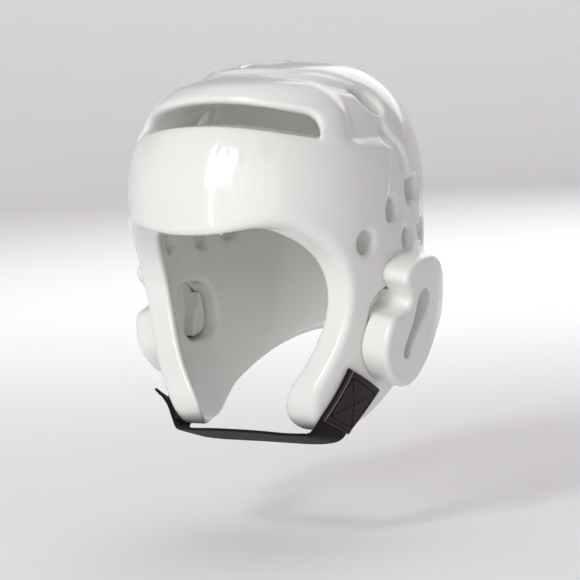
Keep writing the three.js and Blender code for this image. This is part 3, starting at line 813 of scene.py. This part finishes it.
    def valley_field(self, x: np.ndarray, y: np.ndarray, z: np.ndarray) -> np.ndarray:
        """Depth of the valley behind the roll: a bell of the distance to the valley's line."""
        line = spline(np.array(self.valley), 24)
        nearest = np.full(np.broadcast_shapes(x.shape, y.shape, z.shape), 1e6)
        for px, py, pz in line:
            np.minimum(nearest, (np.abs(x) - px) ** 2 + (y - py) ** 2 + (z - pz) ** 2, out=nearest)
        return self.valley_depth * np.exp(-nearest / self.valley_width**2)

    def channel_field(self, degrees: np.ndarray, x: np.ndarray, y: np.ndarray, z: np.ndarray) -> np.ndarray:
        """Channel behind the band, and the back of the dome that stands proud behind it.

        Formula: between the band's end and the rear edge the floor falls away evenly. Behind that edge, and
        behind its run over the top of the dome, the surface is raised by one step.
        """
        heights, front, rear = spline(np.array(self.channel), 80).T
        starts = np.interp(z, heights, front)
        ends = np.interp(z, heights, rear)
        fade = smoothstep(z, *self.channel_starts) * (1.0 - smoothstep(z, *self.channel_ends))
        across = np.clip((degrees - starts) / (ends - starts), 0.0, 1.0)
        floor = smoothstep(degrees - starts, -0.8, 1.0) * (1.0 - smoothstep(degrees - ends, -0.9, 0.3))
        channel = self.channel_depth * floor * (0.35 + 0.65 * across) * fade
        over = spline(np.array(self.dome_step), 60)
        behind = np.where(z > heights[-1], y - np.interp(np.abs(x), *over.T), 1.5 * (degrees - ends))
        raised = self.step_height * smoothstep(behind, -1.3, 1.0) * smoothstep(z, -100.0, -70.0)
        return raised - channel

    def rim_field(self, y: np.ndarray, z: np.ndarray) -> np.ndarray:
        """Distance to the rim in side view, above zero where the face and neck are left open."""
        rows = np.array(self.rim)
        edge = spline(self.form.place(rows[:, 0], rows[:, 1]), 200)
        far = 2.0 * (self.form.front_reach + self.form.back_reach)
        outline = np.vstack([[-far, edge[0, 1]], edge, [far, edge[-1, 1]], [far, -far], [-far, -far]])
        flat_y, flat_z = np.broadcast_arrays(y[0], z[0])
        return -outline_distance(flat_y, flat_z, outline)[None]

    def with_slot(self, body: np.ndarray, x: np.ndarray, y: np.ndarray, z: np.ndarray) -> np.ndarray:
        """Body with the level slot above the band, whose ends aim at a point behind the middle.

        Formula: above the band's top, below the slot's height and inside the end plane through the aim,
        with the two upper corners rounded.
        """
        form = self.form
        aim = form.middle + self.slot_aim
        turns = np.linspace(0.0, 1.25, 40)
        spots = np.array([form.spot(turn, float(form.band_top(turn))) for turn in turns])
        bearings = np.arctan2(spots[:, 0], aim - spots[:, 1])
        bearing = np.arctan2(np.abs(x), np.maximum(aim - y, 1.0))
        low = form.band_top(np.interp(bearing, bearings, turns))
        last = np.interp(self.slot_turn, turns, bearings)
        end = np.abs(x) * math.cos(last) + (y - aim) * math.sin(last)
        up = z - low
        slot = np.maximum(-up, round_and(up - self.slot_height, end, self.slot_corner))
        slot = np.maximum(slot, y + self.slot_depth)
        lip = self.slot_low_lip + (self.slot_high_lip - self.slot_low_lip) * smoothstep(up, 3.0, 11.0)
        return round_and(body, -slot, lip)

    def with_side_holes(self, body: np.ndarray, grid: FieldGrid, side: Side) -> np.ndarray:
        """Body with one side's round vents, pointed vent and ear opening."""
        for vent in self.vents:
            spot = self.form.tangent_frame(side.value * math.radians(vent.turn), vent.height)
            body = self.bored(body, grid, spot, lambda u, v, r=vent.radius: np.hypot(u, v) - r, self.vent_lip)
        pointed = self.pointed_vent
        spot = self.form.tangent_frame(side.value * self.pointed_vent_turn, self.pointed_vent_height)
        body = self.bored(body, grid, spot, pointed.outline(side.value), pointed.lip)
        ear = np.array([
            [side.value * (self.form.half_width - self.form.foam / 2.0), *self.form.ear_middle],
            [0.0, side.value, 0.0], [0.0, 0.0, 1.0], [side.value, 0.0, 0.0],
        ])
        return self.bored(body, grid, ear, self.form.ear_opening, self.ear_lip, self.ear_search)

    def with_top_vent(self, body: np.ndarray, grid: FieldGrid) -> np.ndarray:
        """Body with the oval vent in the crown."""
        vent = self.top_vent
        spot = np.vstack([[0.0, self.top_vent_place, self.form.foam / 2.0], np.eye(3)])
        return self.bored(body, grid, spot, vent.outline(1), vent.lip, self.top_vent_search)

    @staticmethod
    def bored(body: np.ndarray, grid: FieldGrid, spot: np.ndarray,
              outline: Callable[[np.ndarray, np.ndarray], np.ndarray], lip: float,
              reach: float = 30.0) -> np.ndarray:
        """Body with a hole along the last row of spot, its lips rounded.

        Args:
            body: the field to cut.
            grid: the grid it lies on.
            spot: rows of the hole's middle, its two cross directions and its own direction.
            outline: distance in the plane across the hole, for two cross coordinates.
            lip: radius of the lips.
            reach: how far round the middle the hole is worked out.

        Returns:
            The cut field.
        """
        part = grid.near(spot[0], reach)
        x, y, z = np.meshgrid(*[axis[span] for axis, span in zip(grid.axes, part)], indexing="ij")
        away = np.stack([x - spot[0, 0], y - spot[0, 1], z - spot[0, 2]])
        u = np.tensordot(spot[1], away, 1)
        v = np.tensordot(spot[2], away, 1)
        body[part] = round_and(body[part], -outline(u, v), lip)
        return body


@dataclass
class EarGuard:
    """Foam guard over one ear: an outline pushed in to the shell, with its narrowing slot."""

    form: ShellForm
    skin: bpy.types.Material
    side: Side
    step: float = 0.85
    out: float = 12.0
    back: float = 4.5
    drop: float = 76.0
    lean: float = 0.19
    face_turn: float = -0.02
    length: float = 85.5
    height: float = 87.5
    depth: float = 45.0
    sunk: float = 8.0
    edge: float = 3.8
    slot_lip: float = 1.5
    bevel_slope: float = 0.32
    bevel_start: float = 0.22
    bevel_edge: float = 3.0
    base_edge: float = 0.8
    opening_gap: float = 1.2
    clearance: float = 0.3
    # Outline of the outer face, shares of the length to the rear and of the height upwards
    outline: tuple[tuple[float, float], ...] = (
        (0.10, 0.500), (-0.10, 0.490), (-0.27, 0.425), (-0.305, 0.340), (-0.245, 0.262), (-0.200, 0.195),
        (-0.225, 0.128), (-0.31, 0.095), (-0.42, 0.060), (-0.478, -0.050), (-0.488, -0.190), (-0.43, -0.310),
        (-0.30, -0.430), (-0.12, -0.500), (0.045, -0.470), (0.195, -0.340), (0.345, -0.180), (0.480, -0.060),
        (0.495, 0.080), (0.40, 0.270), (0.24, 0.430),
    )
    # Slot from its wide top to its narrow foot: shares back and up, and width as a share of the length
    slot: tuple[tuple[float, float, float], ...] = (
        (0.010, 0.152, 0.205), (-0.027, 0.060, 0.164), (-0.070, -0.030, 0.125), (-0.121, -0.125, 0.115),
        (-0.153, -0.207, 0.118),
    )

    def build(self) -> bpy.types.Object:
        """Makes the guard's mesh, dresses it and sets it in the frame."""
        side = self.side.name.lower()
        grid = FieldGrid((-46.0, -47.0, -48.0), (46.0, 47.0, 4.0), self.step)
        u, v, w = grid.points()
        flat_u, flat_v = np.broadcast_arrays(u[:, :, 0], v[:, :, 0])
        wall = outline_distance(flat_u, flat_v, self.outline_points())[:, :, None]
        cut = self.slot_field(flat_u, flat_v)[:, :, None]
        shape = (len(grid.axes[0]), len(grid.axes[1]), len(grid.axes[2]))
        body = round_and(np.broadcast_to(wall, shape), np.broadcast_to(w, shape), self.edge)
        fall = self.bevel_slope * (u - self.bevel_start * self.length)
        slope = (w + fall) / math.hypot(1.0, self.bevel_slope)
        body = round_and(body, np.broadcast_to(slope, shape), self.bevel_edge)
        body = round_and(body, -cut, self.slot_lip)
        axes = self.axes()
        x, y, z = (axes[0, k] + u * axes[1, k] + v * axes[2, k] + w * axes[3, k] for k in range(3))
        shell = self.form.distance(x, y, z, 0.0, grid)
        middle_y, middle_z = self.form.ear_middle
        opening = self.form.ear_opening(y - middle_y, z - middle_z) + self.opening_gap
        pocket = np.maximum(opening, -shell - self.sunk)
        body = round_and(body, np.minimum(self.clearance - shell, pocket), self.base_edge)
        body = np.maximum(body, -(w + self.depth))
        points, faces = grid.skin(body, 4)
        placed = axes[0] + points @ axes[1:]
        placed[:, 0] *= self.side.value
        if self.side is Side.RIGHT:
            faces = faces[:, ::-1]
        piece = mesh_piece(f"foam_ear_guard_{side}", placed, faces)
        piece.data.materials.append(self.skin)
        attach(piece, "root")
        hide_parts(f"ear_guard_{side}")
        return piece

    def axes(self) -> np.ndarray:
        """Rows: the face's middle, and the directions to the rear, up and out, for the left side."""
        out = np.array([1.0, self.face_turn, -self.lean])
        out /= np.linalg.norm(out)
        up = np.array([0.0, 0.0, 1.0]) - out[2] * out
        up /= np.linalg.norm(up)
        middle = np.array([
            self.form.half_width + self.out, self.form.middle + self.back, self.form.equator - self.drop,
        ])
        return np.stack([middle, np.cross(up, out), up, out])

    def outline_points(self) -> np.ndarray:
        """Smooth closed outline of the face, in millimetres."""
        rows = np.array(self.outline + self.outline[:1]) * (self.length, self.height)
        return spline(rows, 160)[:-1]

    def slot_field(self, u: np.ndarray, v: np.ndarray) -> np.ndarray:
        """Distance to the slot: to its line, less the half width that changes along it."""
        rows = spline(np.array(self.slot) * (self.length, self.height, self.length / 2.0), 60)
        away = np.hypot(u[..., None] - rows[:, 0], v[..., None] - rows[:, 1]) - rows[:, 2]
        return away.min(axis=-1)


@dataclass
class WebbingPath:
    """Surface of the strap: lines across it, and smooth points and directions anywhere on it."""

    form: ShellForm
    fit: float = 0.5
    pad: float = 1.6
    clearance: float = 0.3
    chin_depth: float = 152.0
    free_lift: float = 7.0
    free_share: float = 0.5
    free_start: float = 0.42
    columns: int = 12
    # Front and rear edge on a cheek, from the end down to the rim: reach, drop, reach, drop
    cheek: tuple[tuple[float, float, float, float], ...] = (
        (-0.405, 0.672, -0.103, 0.798), (-0.446, 0.765, -0.180, 0.872),
        (-0.490, 0.853, -0.245, 0.938), (-0.538, 0.945, -0.290, 0.996),
    )
    # Under the chin: x as a share of the half width, and reach and drop of the front and rear edge
    chin: tuple[tuple[float, float, float, float, float], ...] = (
        (0.540, -0.572, 0.928, -0.300, 1.000), (0.400, -0.590, 0.928, -0.300, 1.006),
        (0.200, -0.615, 0.920, -0.290, 1.008), (0.000, -0.622, 0.918, -0.285, 1.008),
    )

    def cheek_lines(self, side: Side, start: float, fit: float, lift: float) -> np.ndarray:
        """Lines of points across the strap on a cheek, from its end down to the rim."""
        rows = np.array(self.cheek)
        front = self.form.place(rows[:, 0], rows[:, 1])
        rear = self.form.place(rows[:, 2], rows[:, 3])
        at = start + (1.0 - start) * np.array([0.0, 0.2, 0.45, 0.7, 1.0])
        part = np.linspace(0.0, 1.0, self.columns + 1)[None, :, None]
        edges = [self.along(edge, at)[:, None, :] for edge in (front, rear)]
        spot = edges[0] * (1.0 - part) + edges[1] * part
        share = (at - start) / (1.0 - start)
        off = lift * np.maximum(1.0 - share / self.free_share, 0.0) ** 2
        x = side.value * (self.form.side(spot[..., 0], spot[..., 1], fit) + off[:, None])
        return np.concatenate([x[..., None], spot], axis=-1)

    def chin_lines(self, side: Side) -> np.ndarray:
        """Lines of points across the strap from under a cheek to the chin's middle."""
        rows = np.array(self.chin)
        part = np.linspace(0.0, 1.0, self.columns + 1)[None, :]
        reach = rows[:, 1:2] * (1.0 - part) + rows[:, 3:4] * part
        drop = rows[:, 2:3] * (1.0 - part) + rows[:, 4:5] * part
        x = np.broadcast_to(side.value * rows[:, :1] * self.form.half_width, reach.shape)
        return np.stack([
            x, self.form.middle + reach * self.form.front_reach, self.form.equator - drop * self.chin_depth,
        ], axis=-1)

    def whole(self) -> np.ndarray:
        """Lines of the whole loop, from the left end under the chin to the right end."""
        left = np.concatenate([self.cheek_lines(Side.LEFT, 0.0, self.fit, 0.0), self.chin_lines(Side.LEFT)])
        off_pad = self.fit + self.pad + self.clearance
        cheek = self.cheek_lines(Side.RIGHT, self.free_start, off_pad, self.free_lift)
        right = np.concatenate([cheek, self.chin_lines(Side.RIGHT)])
        return np.concatenate([left, right[::-1][1:]])

    @staticmethod
    def along(rows: np.ndarray, at: np.ndarray) -> np.ndarray:
        """Places on the smooth path through rows, at shares of its row count."""
        fine = spline(rows, 400)
        where = at * 400.0
        return np.stack([np.interp(where, np.arange(401), fine[:, k]) for k in range(fine.shape[1])], axis=1)

    def smooth(self, lines: np.ndarray, count: int) -> tuple[np.ndarray, np.ndarray]:
        """Evenly spaced points along smooth paths through the lines, and their directions off the head.

        Args:
            lines: (lines, columns, 3) points across the strap.
            count: number of steps along it.

        Returns:
            (count + 1, columns, 3) points and as many unit directions.
        """
        paths = [self.even(lines[:, j], count) for j in range(lines.shape[1])]
        points = np.stack(paths, axis=1)
        tangent = np.gradient(points, axis=0)
        width = np.gradient(points, axis=1)
        normal = np.cross(tangent, width)
        return points, normal / np.linalg.norm(normal, axis=-1, keepdims=True)

    @staticmethod
    def even(knots: np.ndarray, count: int) -> np.ndarray:
        """Evenly spaced points on the cubic through knots whose slopes follow the root of their spacing."""
        ends = np.vstack([2 * knots[0] - knots[1], knots, 2 * knots[-1] - knots[-2]])
        gap = np.sqrt(np.linalg.norm(np.diff(ends, axis=0), axis=1))[:, None]
        p0, p1, p2, p3 = ends[:-3], ends[1:-2], ends[2:-1], ends[3:]
        d0, d1, d2 = gap[:-2], gap[1:-1], gap[2:]
        t1 = ((p1 - p0) / d0 - (p2 - p0) / (d0 + d1) + (p2 - p1) / d1) * d1
        t2 = ((p2 - p1) / d1 - (p3 - p1) / (d1 + d2) + (p3 - p2) / d2) * d1
        t = np.linspace(0.0, 1.0, 33)[:-1, None, None]
        fine = p1 + t1 * t + (-3 * p1 + 3 * p2 - 2 * t1 - t2) * t**2 + (2 * p1 - 2 * p2 + t1 + t2) * t**3
        fine = np.vstack([fine.transpose(1, 0, 2).reshape(-1, 3), knots[-1:]])
        run = np.concatenate([[0.0], np.cumsum(np.linalg.norm(np.diff(fine, axis=0), axis=1))])
        at = np.linspace(0.0, run[-1], count + 1)
        return np.stack([np.interp(at, run, fine[:, k]) for k in range(3)], axis=1)


@dataclass
class Webbing:
    """One flat band of webbing on the strap's surface, with soft edges and its own UV map in metres."""

    name: str
    points: np.ndarray
    normals: np.ndarray
    lift: float
    thickness: float
    trim: float = 0.0
    edge_steps: int = 4
    across_steps: int = 16

    def section(self) -> tuple[np.ndarray, np.ndarray]:
        """The band's cross-section: shares of the width and of the thickness, once round.

        Formula: straight faces outside and inside, joined by half circles of half the thickness. The outer
        face comes first, from its front edge, where the UV map starts.
        """
        width = self.width()
        turn = np.linspace(-math.pi / 2.0, math.pi / 2.0, self.edge_steps + 1)[1:-1]
        round_part = np.cos(turn) * self.thickness / 2.0 / width
        inset = self.thickness / 2.0 / width
        flat = np.linspace(inset, 1.0 - inset, self.across_steps + 1)
        across = np.concatenate([flat, 1.0 - inset + round_part, flat[::-1], inset - round_part])
        half = np.sin(turn) / 2.0
        height = np.concatenate([np.ones(len(flat)), 0.5 - half, np.zeros(len(flat)), 0.5 + half])
        return self.trim + (1.0 - 2.0 * self.trim) * across, height

    def width(self) -> float:
        """Mean width of the surface that the band lies on."""
        return float(np.linalg.norm(np.diff(self.points, axis=1), axis=-1).sum(axis=1).mean())

    def spot(self, row: np.ndarray, share: np.ndarray, away: np.ndarray) -> np.ndarray:
        """Points of the surface at rows and shares of the width, moved off it."""
        columns = self.points.shape[1] - 1
        at = np.clip(share, 0.0, 1.0) * columns
        base = np.minimum(at.astype(int), columns - 1)
        t = (at - base)[..., None]
        line = np.minimum(row.astype(int), len(self.points) - 2)
        s = (row - line)[..., None]

        def blend(grid: np.ndarray) -> np.ndarray:
            """Four corners of the surface's cell mixed by the two shares."""
            here = grid[line, base] * (1.0 - t) + grid[line, base + 1] * t
            there = grid[line + 1, base] * (1.0 - t) + grid[line + 1, base + 1] * t
            return here * (1.0 - s) + there * s

        return blend(self.points) + blend(self.normals) * away[..., None]

    def build(self, finish: bpy.types.Material) -> bpy.types.Object:
        """Makes the closed band: the section carried along the surface, with rounded ends."""
        share, height = self.section()
        count = len(self.points)
        ends = 3
        rows = np.concatenate([np.zeros(ends), np.arange(count), np.full(ends, count - 1.0)])
        swell = np.concatenate([[0.15, 0.62, 0.9], np.ones(count), [0.9, 0.62, 0.15]])
        row = np.broadcast_to(rows[:, None], (len(rows), len(share)))
        across = np.broadcast_to(share, row.shape)
        away = self.lift + self.thickness * (0.5 + (height - 0.5) * swell[:, None])
        points = self.spot(row, across, away)
        pull = np.concatenate([[1.0, 0.6, 0.25], np.zeros(count), [0.25, 0.6, 1.0]]) * self.thickness / 2.0
        ahead = np.gradient(self.points, axis=0)
        ahead /= np.linalg.norm(ahead, axis=-1, keepdims=True)
        mean = ahead.mean(axis=1)
        points[:ends] -= pull[:ends, None, None] * mean[0]
        points[-ends:] += pull[-ends:, None, None] * mean[-1]
        n, m = points.shape[:2]
        i, j = np.meshgrid(np.arange(n - 1), np.arange(m), indexing="ij")
        k = (j + 1) % m
        quads = np.stack([i * m + j, i * m + k, (i + 1) * m + k, (i + 1) * m + j], axis=-1).reshape(-1, 4)
        run = np.concatenate([[0.0], np.cumsum(np.linalg.norm(np.diff(points[:, 0], axis=0), axis=1))]) * MM
        girth = np.concatenate([[0.0], np.cumsum(np.hypot(
            np.diff(np.append(share, share[0])) * self.width(),
            np.diff(np.append(height, height[0])) * self.thickness))]) * MM
        u = np.stack([run[i], run[i], run[i + 1], run[i + 1]], axis=-1)
        v = np.stack([girth[j], girth[j + 1], girth[j + 1], girth[j]], axis=-1)
        uv = np.stack([u, v], axis=-1).reshape(-1, 2)
        piece = mesh_piece(self.name, points.reshape(-1, 3), quads, uv)
        self.close_ends(piece, n, m)
        piece.data.materials.append(finish)
        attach(piece, "root")
        return piece

    @staticmethod
    def close_ends(piece: bpy.types.Object, n: int, m: int) -> None:
        """Caps the first and the last ring with one face each and turns all faces outwards."""
        made = bmesh.new()
        made.from_mesh(piece.data)
        made.verts.ensure_lookup_table()
        for start in (0, (n - 1) * m):
            made.faces.new([made.verts[start + j] for j in range(m)])
        bmesh.ops.recalc_face_normals(made, faces=made.faces)
        made.to_mesh(piece.data)
        made.free()


@dataclass
class Stitching:
    """Rows of thread sunk in a band of webbing."""

    name: str
    band: Webbing
    away: float
    length: float = 2.9
    gap: float = 0.7
    thick: float = 0.95

    def build(self, seams: list[np.ndarray], finish: bpy.types.Material) -> bpy.types.Object:
        """Threads along seams.

        Formula: each seam is cut into equal steps; each thread is a six-sided spindle, half sunk, whose
        radius follows the root of sine along it.

        Args:
            seams: paths in (row, share of the width) on the band.
            finish: the thread's material.

        Returns:
            One joined mesh.
        """
        starts, ends, ups = [], [], []
        for seam in seams:
            fine_at = np.linspace(0.0, len(seam) - 1.0, 600)
            fine = np.stack([np.interp(fine_at, np.arange(len(seam)), seam[:, k]) for k in range(2)], axis=1)
            path = self.band.spot(fine[:, 0], fine[:, 1], np.full(600, self.away))
            lifted = self.band.spot(fine[:, 0], fine[:, 1], np.full(600, self.away + 1.0))
            run = np.concatenate([[0.0], np.cumsum(np.linalg.norm(np.diff(path, axis=0), axis=1))])
            count = max(int(run[-1] / (self.length + self.gap)), 1)
            at = (np.arange(count) + 0.5) * run[-1] / count
            pick = [
                np.stack([np.interp(at + half, run, grid[:, k]) for k in range(3)], axis=1)
                for half, grid in ((-self.length / 2, path), (self.length / 2, path), (0.0, lifted - path))
            ]
            starts.append(pick[0])
            ends.append(pick[1])
            ups.append(pick[2])
        a, b, up = (np.vstack(part) for part in (starts, ends, ups))
        ahead = b - a
        ahead /= np.linalg.norm(ahead, axis=1, keepdims=True)
        wide = np.cross(ahead, up)
        share = np.array([0.0, 0.12, 0.5, 0.88, 1.0])
        radius = self.thick / 2.0 * np.sqrt(np.clip(np.sin(math.pi * share), 0.02, 1.0))
        turn = np.linspace(0.0, 2.0 * math.pi, 7)[:-1]
        ring = np.cos(turn)[:, None, None], np.sin(turn)[:, None, None]
        points = np.stack([
            a + (b - a) * s + r * (ring[0] * wide + 0.8 * ring[1] * up) for s, r in zip(share, radius)
        ])
        rings, sides, count = points.shape[:3]
        number = np.arange(rings * sides * count).reshape(rings, sides, count)
        here, there = number[:-1], number[1:]
        quads = np.stack([here, np.roll(here, -1, 1), np.roll(there, -1, 1), there], axis=-1).reshape(-1, 4)
        piece = mesh_piece(self.name, points.reshape(-1, 3), quads)
        piece.data.materials.append(finish)
        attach(piece, "root")
        return piece


@dataclass
class ChinStrap:
    """The strap's loop, its sewn end with a boxed cross of stitches, and the hook tape."""

    form: ShellForm
    thickness: float = 2.0
    sewn_thickness: float = 1.8
    sewn_share: float = 9.0 / 48.0
    steps: int = 192

    def build(self) -> list[bpy.types.Object]:
        """Makes and dresses every piece of the strap."""
        path = WebbingPath(self.form)
        points, normals = path.smooth(path.whole(), self.steps)
        cloth = WovenCloth("black_webbing").material()
        # The doubled webbing gets a painted highlight 0.9 mm wide along its front edge.
        satin = WovenCloth(
            "black_doubled_webbing", dark=(0.012, 0.008, 0.011, 1.0), light=(0.025, 0.017, 0.023, 1.0),
            rib=0.0008, roughness=0.6, sheen=0.08, painted_highlight_width=0.0009, bump=0.3,
        ).material()
        thread = ThreadFinish().material()
        loop = Webbing("webbing_chin_strap", points, normals, 0.0, self.thickness)
        strap = loop.build(cloth)
        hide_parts("chin_strap")
        last = int(round(self.sewn_share * self.steps)) + 1
        patch = Webbing("webbing_sewn_end", points[:last], normals[:last], self.thickness + path.clearance,
                        self.sewn_thickness, 0.012)
        sewn = patch.build(satin)
        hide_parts("strap_sewn_end_left")
        seams = self.seams(last - 1)
        top = patch.lift + patch.thickness
        stitches = Stitching("sewn_end_stitches", patch, top).build(seams, thread)
        hem = Stitching("free_end_hem_stitches", loop, self.thickness).build([
            np.array([[self.steps - d, 0.06], [self.steps - d, 0.94]]) for d in (3.0, 9.0)
        ], thread)
        return [strap, sewn, stitches, hem, self.hook_tape(path)]

    @staticmethod
    def seams(last: float) -> list[np.ndarray]:
        """Box, cross and hem of the sewn end, in rows and shares of the width."""
        low, high = 3.5, last - 4.0
        return [
            np.array([[low, 0.1], [low, 0.9], [high, 0.9], [high, 0.1], [low, 0.1]]),
            np.array([[low, 0.1], [high, 0.9]]),
            np.array([[low, 0.9], [high, 0.1]]),
            np.array([[last - 1.0, 0.05], [last - 1.0, 0.95]]),
        ]

    def hook_tape(self, path: WebbingPath) -> bpy.types.Object:
        """Hook tape on the right cheek, under the strap's loose end."""
        lines = path.cheek_lines(Side.RIGHT, path.free_start + 0.06, path.fit, 0.0)[:4]
        points, normals = path.smooth(lines[::-1], 24)
        finish = WovenCloth(
            "black_hook_tape", dark=(0.008, 0.008, 0.009, 1.0), light=(0.030, 0.030, 0.033, 1.0),
            rib=0.0016, roughness=0.9, sheen=0.1, bump=0.9,
        ).material()
        tape = Webbing("hook_tape", points, normals, 0.0, path.pad, 0.06).build(finish)
        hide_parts("hook_pad_right")
        return tape


@dataclass(frozen=True)
class ThreadFinish:
    """Black sewing thread with a slight shine and a ply twist."""

    name: str = "black_thread"
    colour: tuple[float, float, float, float] = (0.003, 0.002, 0.0025, 1.0)

    def material(self) -> bpy.types.Material:
        """Builds the material: dark thread with twist noise on Object coordinates."""
        made = bpy.data.materials.new(self.name)
        made.use_nodes = True
        tree = Nodes(made)
        tree.shader.inputs["Base Color"].default_value = self.colour
        tree.shader.inputs["Roughness"].default_value = 0.85
        tree.shader.inputs["Specular IOR Level"].default_value = 0.15
        spot = tree.add("ShaderNodeTexCoord").outputs["Object"]
        twist = tree.bump(tree.noise(spot, 1800.0, 2.0, 0.5), 0.4, 0.0003, None)
        tree.join(twist, tree.shader.inputs["Normal"])
        return made


@dataclass
class Studio:
    """Pale floor and sweep, soft lights, and the camera at the photograph's angle."""

    azimuth: float = math.radians(31.5)
    elevation: float = math.radians(5.5)
    roll: float = math.radians(2.9)
    distance: float = 1.5
    scale: float = 1470.0
    frame_px: float = 580.0
    target: tuple[float, float, float] = (0.0, -0.009, -0.1084)
    target_px: tuple[float, float] = (282.0, 249.5)
    floor_height: float = -0.30

    def axes(self) -> tuple[Vector, Vector, Vector]:
        """The camera's right, up and backward directions, before its small turn to frame the guard."""
        a, e, r = self.azimuth, self.elevation, self.roll
        back = Vector((math.sin(a) * math.cos(e), -math.cos(a) * math.cos(e), math.sin(e)))
        level = Vector((math.cos(a), math.sin(a), 0.0))
        upright = back.cross(level)
        right = level * math.cos(r) - upright * math.sin(r)
        up = level * math.sin(r) + upright * math.cos(r)
        return right, up, back

    def camera(self) -> bpy.types.Object:
        """Camera that sees the target where the photograph shows it, turned by the needed angle."""
        right, up, back = self.axes()
        focal_px = self.scale * self.distance
        data = bpy.data.cameras.new("camera")
        data.sensor_width = 36.0
        data.lens = focal_px / self.frame_px * data.sensor_width
        data.clip_start = 0.05
        data.clip_end = 50.0
        across = (self.target_px[0] - self.frame_px / 2.0) / focal_px
        upward = (self.frame_px / 2.0 - self.target_px[1]) / focal_px
        look = (-back - right * across - up * upward).normalized()
        side = look.cross(up).normalized()
        rise = side.cross(look)
        turn = Matrix((side, rise, -look)).transposed().to_4x4()
        made = bpy.data.objects.new("camera", data)
        made.matrix_world = Matrix.Translation(Vector(self.target) + back * self.distance) @ turn
        bpy.context.scene.collection.objects.link(made)
        bpy.context.scene.camera = made
        return made

    def floor(self) -> bpy.types.Object:
        """Round pale floor that sweeps up into a low wall all round.

        Formula: a profile of a flat run, a quarter circle and an upright, turned about the Z axis.
        """
        flat, bend, tall = 3.2, 0.8, 1.3
        turn = np.linspace(0.0, math.pi / 2.0, 16)
        radius = np.concatenate([[0.0, 1.5], flat + bend * np.sin(turn), [flat + bend]])
        lift = np.concatenate([[0.0, 0.0], bend * (1.0 - np.cos(turn)), [tall]])
        around = np.linspace(0.0, 2.0 * math.pi, 97)[:-1]
        points = np.stack([
            radius[:, None] * np.cos(around), radius[:, None] * np.sin(around),
            np.broadcast_to(self.floor_height + lift[:, None], (len(radius), len(around))),
        ], axis=-1)
        number = np.arange(points.size // 3).reshape(points.shape[:2])
        here, there = number[:-1], number[1:]
        faces = np.stack([here, there, np.roll(there, -1, 1), np.roll(here, -1, 1)], axis=-1).reshape(-1, 4)
        piece = mesh_piece("pale_floor", points.reshape(-1, 3) / MM, faces)
        made = bpy.data.materials.new("pale_floor")
        made.use_nodes = True
        shader = made.node_tree.nodes["Principled BSDF"]
        shader.inputs["Base Color"].default_value = (0.93, 0.93, 0.935, 1.0)
        shader.inputs["Roughness"].default_value = 0.9
        piece.data.materials.append(made)
        return piece

    def light(self, name: str, place: tuple[float, float, float], size: tuple[float, float],
              watts: float, colour: tuple[float, float, float],
              aim: tuple[float, float, float] = (0.0, 0.0, 0.0)) -> None:
        """Area light that faces the guard, or another point.

        Args:
            name: the light's name.
            place: metres to the camera's right, up, and towards the camera from the guard's middle.
            size: its width and height in metres.
            watts: its power.
            colour: its colour.
            aim: the point that it faces, given as place is.
        """
        right, up, back = self.axes()
        data = bpy.data.lights.new(name, "AREA")
        data.shape = "RECTANGLE"
        data.size, data.size_y = size
        data.energy = watts
        data.color = colour
        made = bpy.data.objects.new(name, data)
        middle = Vector(self.target)
        made.location = middle + right * place[0] + up * place[1] + back * place[2]
        made.rotation_mode = "QUATERNION"
        faced = middle + right * aim[0] + up * aim[1] + back * aim[2]
        made.rotation_quaternion = (made.location - faced).to_track_quat("Z", "Y")
        made.visible_camera = False
        bpy.context.scene.collection.objects.link(made)

    def build(self) -> None:
        """Makes the camera, the floor, the lights and the pale surroundings."""
        self.camera()
        self.floor()
        self.light("key_left", (-1.15, 0.7, 1.6), (1.0, 1.0), 11.0, (1.0, 1.0, 0.985))
        self.light("lamp_left", (-1.05, 1.25, 1.35), (0.16, 0.34), 6.0, (1.0, 1.0, 1.0))
        self.light("strip_left", (-1.3, 0.1, 1.5), (0.10, 1.5), 6.0, (1.0, 1.0, 1.0))
        self.light("fill_front", (-0.1, 0.1, 2.6), (2.6, 2.2), 20.0, (1.0, 1.0, 0.985))
        self.light("fill_back", (0.9, 1.5, -2.0), (1.5, 1.5), 11.0, (1.0, 0.98, 1.0))
        self.light("overhead", (0.0, 2.4, -0.4), (2.4, 2.4), 12.0, (1.0, 1.0, 1.0))
        self.light("backdrop", (0.0, 1.4, -0.8), (3.0, 0.6), 24.0, (1.0, 1.0, 1.0), (0.0, 0.0, -4.0))
        world = bpy.data.worlds.new("pale_room")
        world.use_nodes = True
        surround = world.node_tree.nodes["Background"]
        surround.inputs["Color"].default_value = (1.0, 0.91, 1.0, 1.0)
        surround.inputs["Strength"].default_value = 0.27
        bpy.context.scene.world = world
        bpy.context.scene.view_settings.view_transform = "Standard"


def main() -> None:
    """Builds the studio and each sub-assembly in order, and reports every piece."""
    logging.basicConfig(level=logging.INFO, format="%(name)s: %(message)s")
    Studio().build()
    form = ShellForm()
    skin = DippedSkin().material()
    made = [FoamShell(form, skin).build()]
    made += [EarGuard(form, skin, side).build() for side in Side]
    made += ChinStrap(form).build()
    for piece in made:
        LOG.info("%s: %d faces", piece.name, len(piece.data.polygons))


if __name__ == "__main__":
    main()
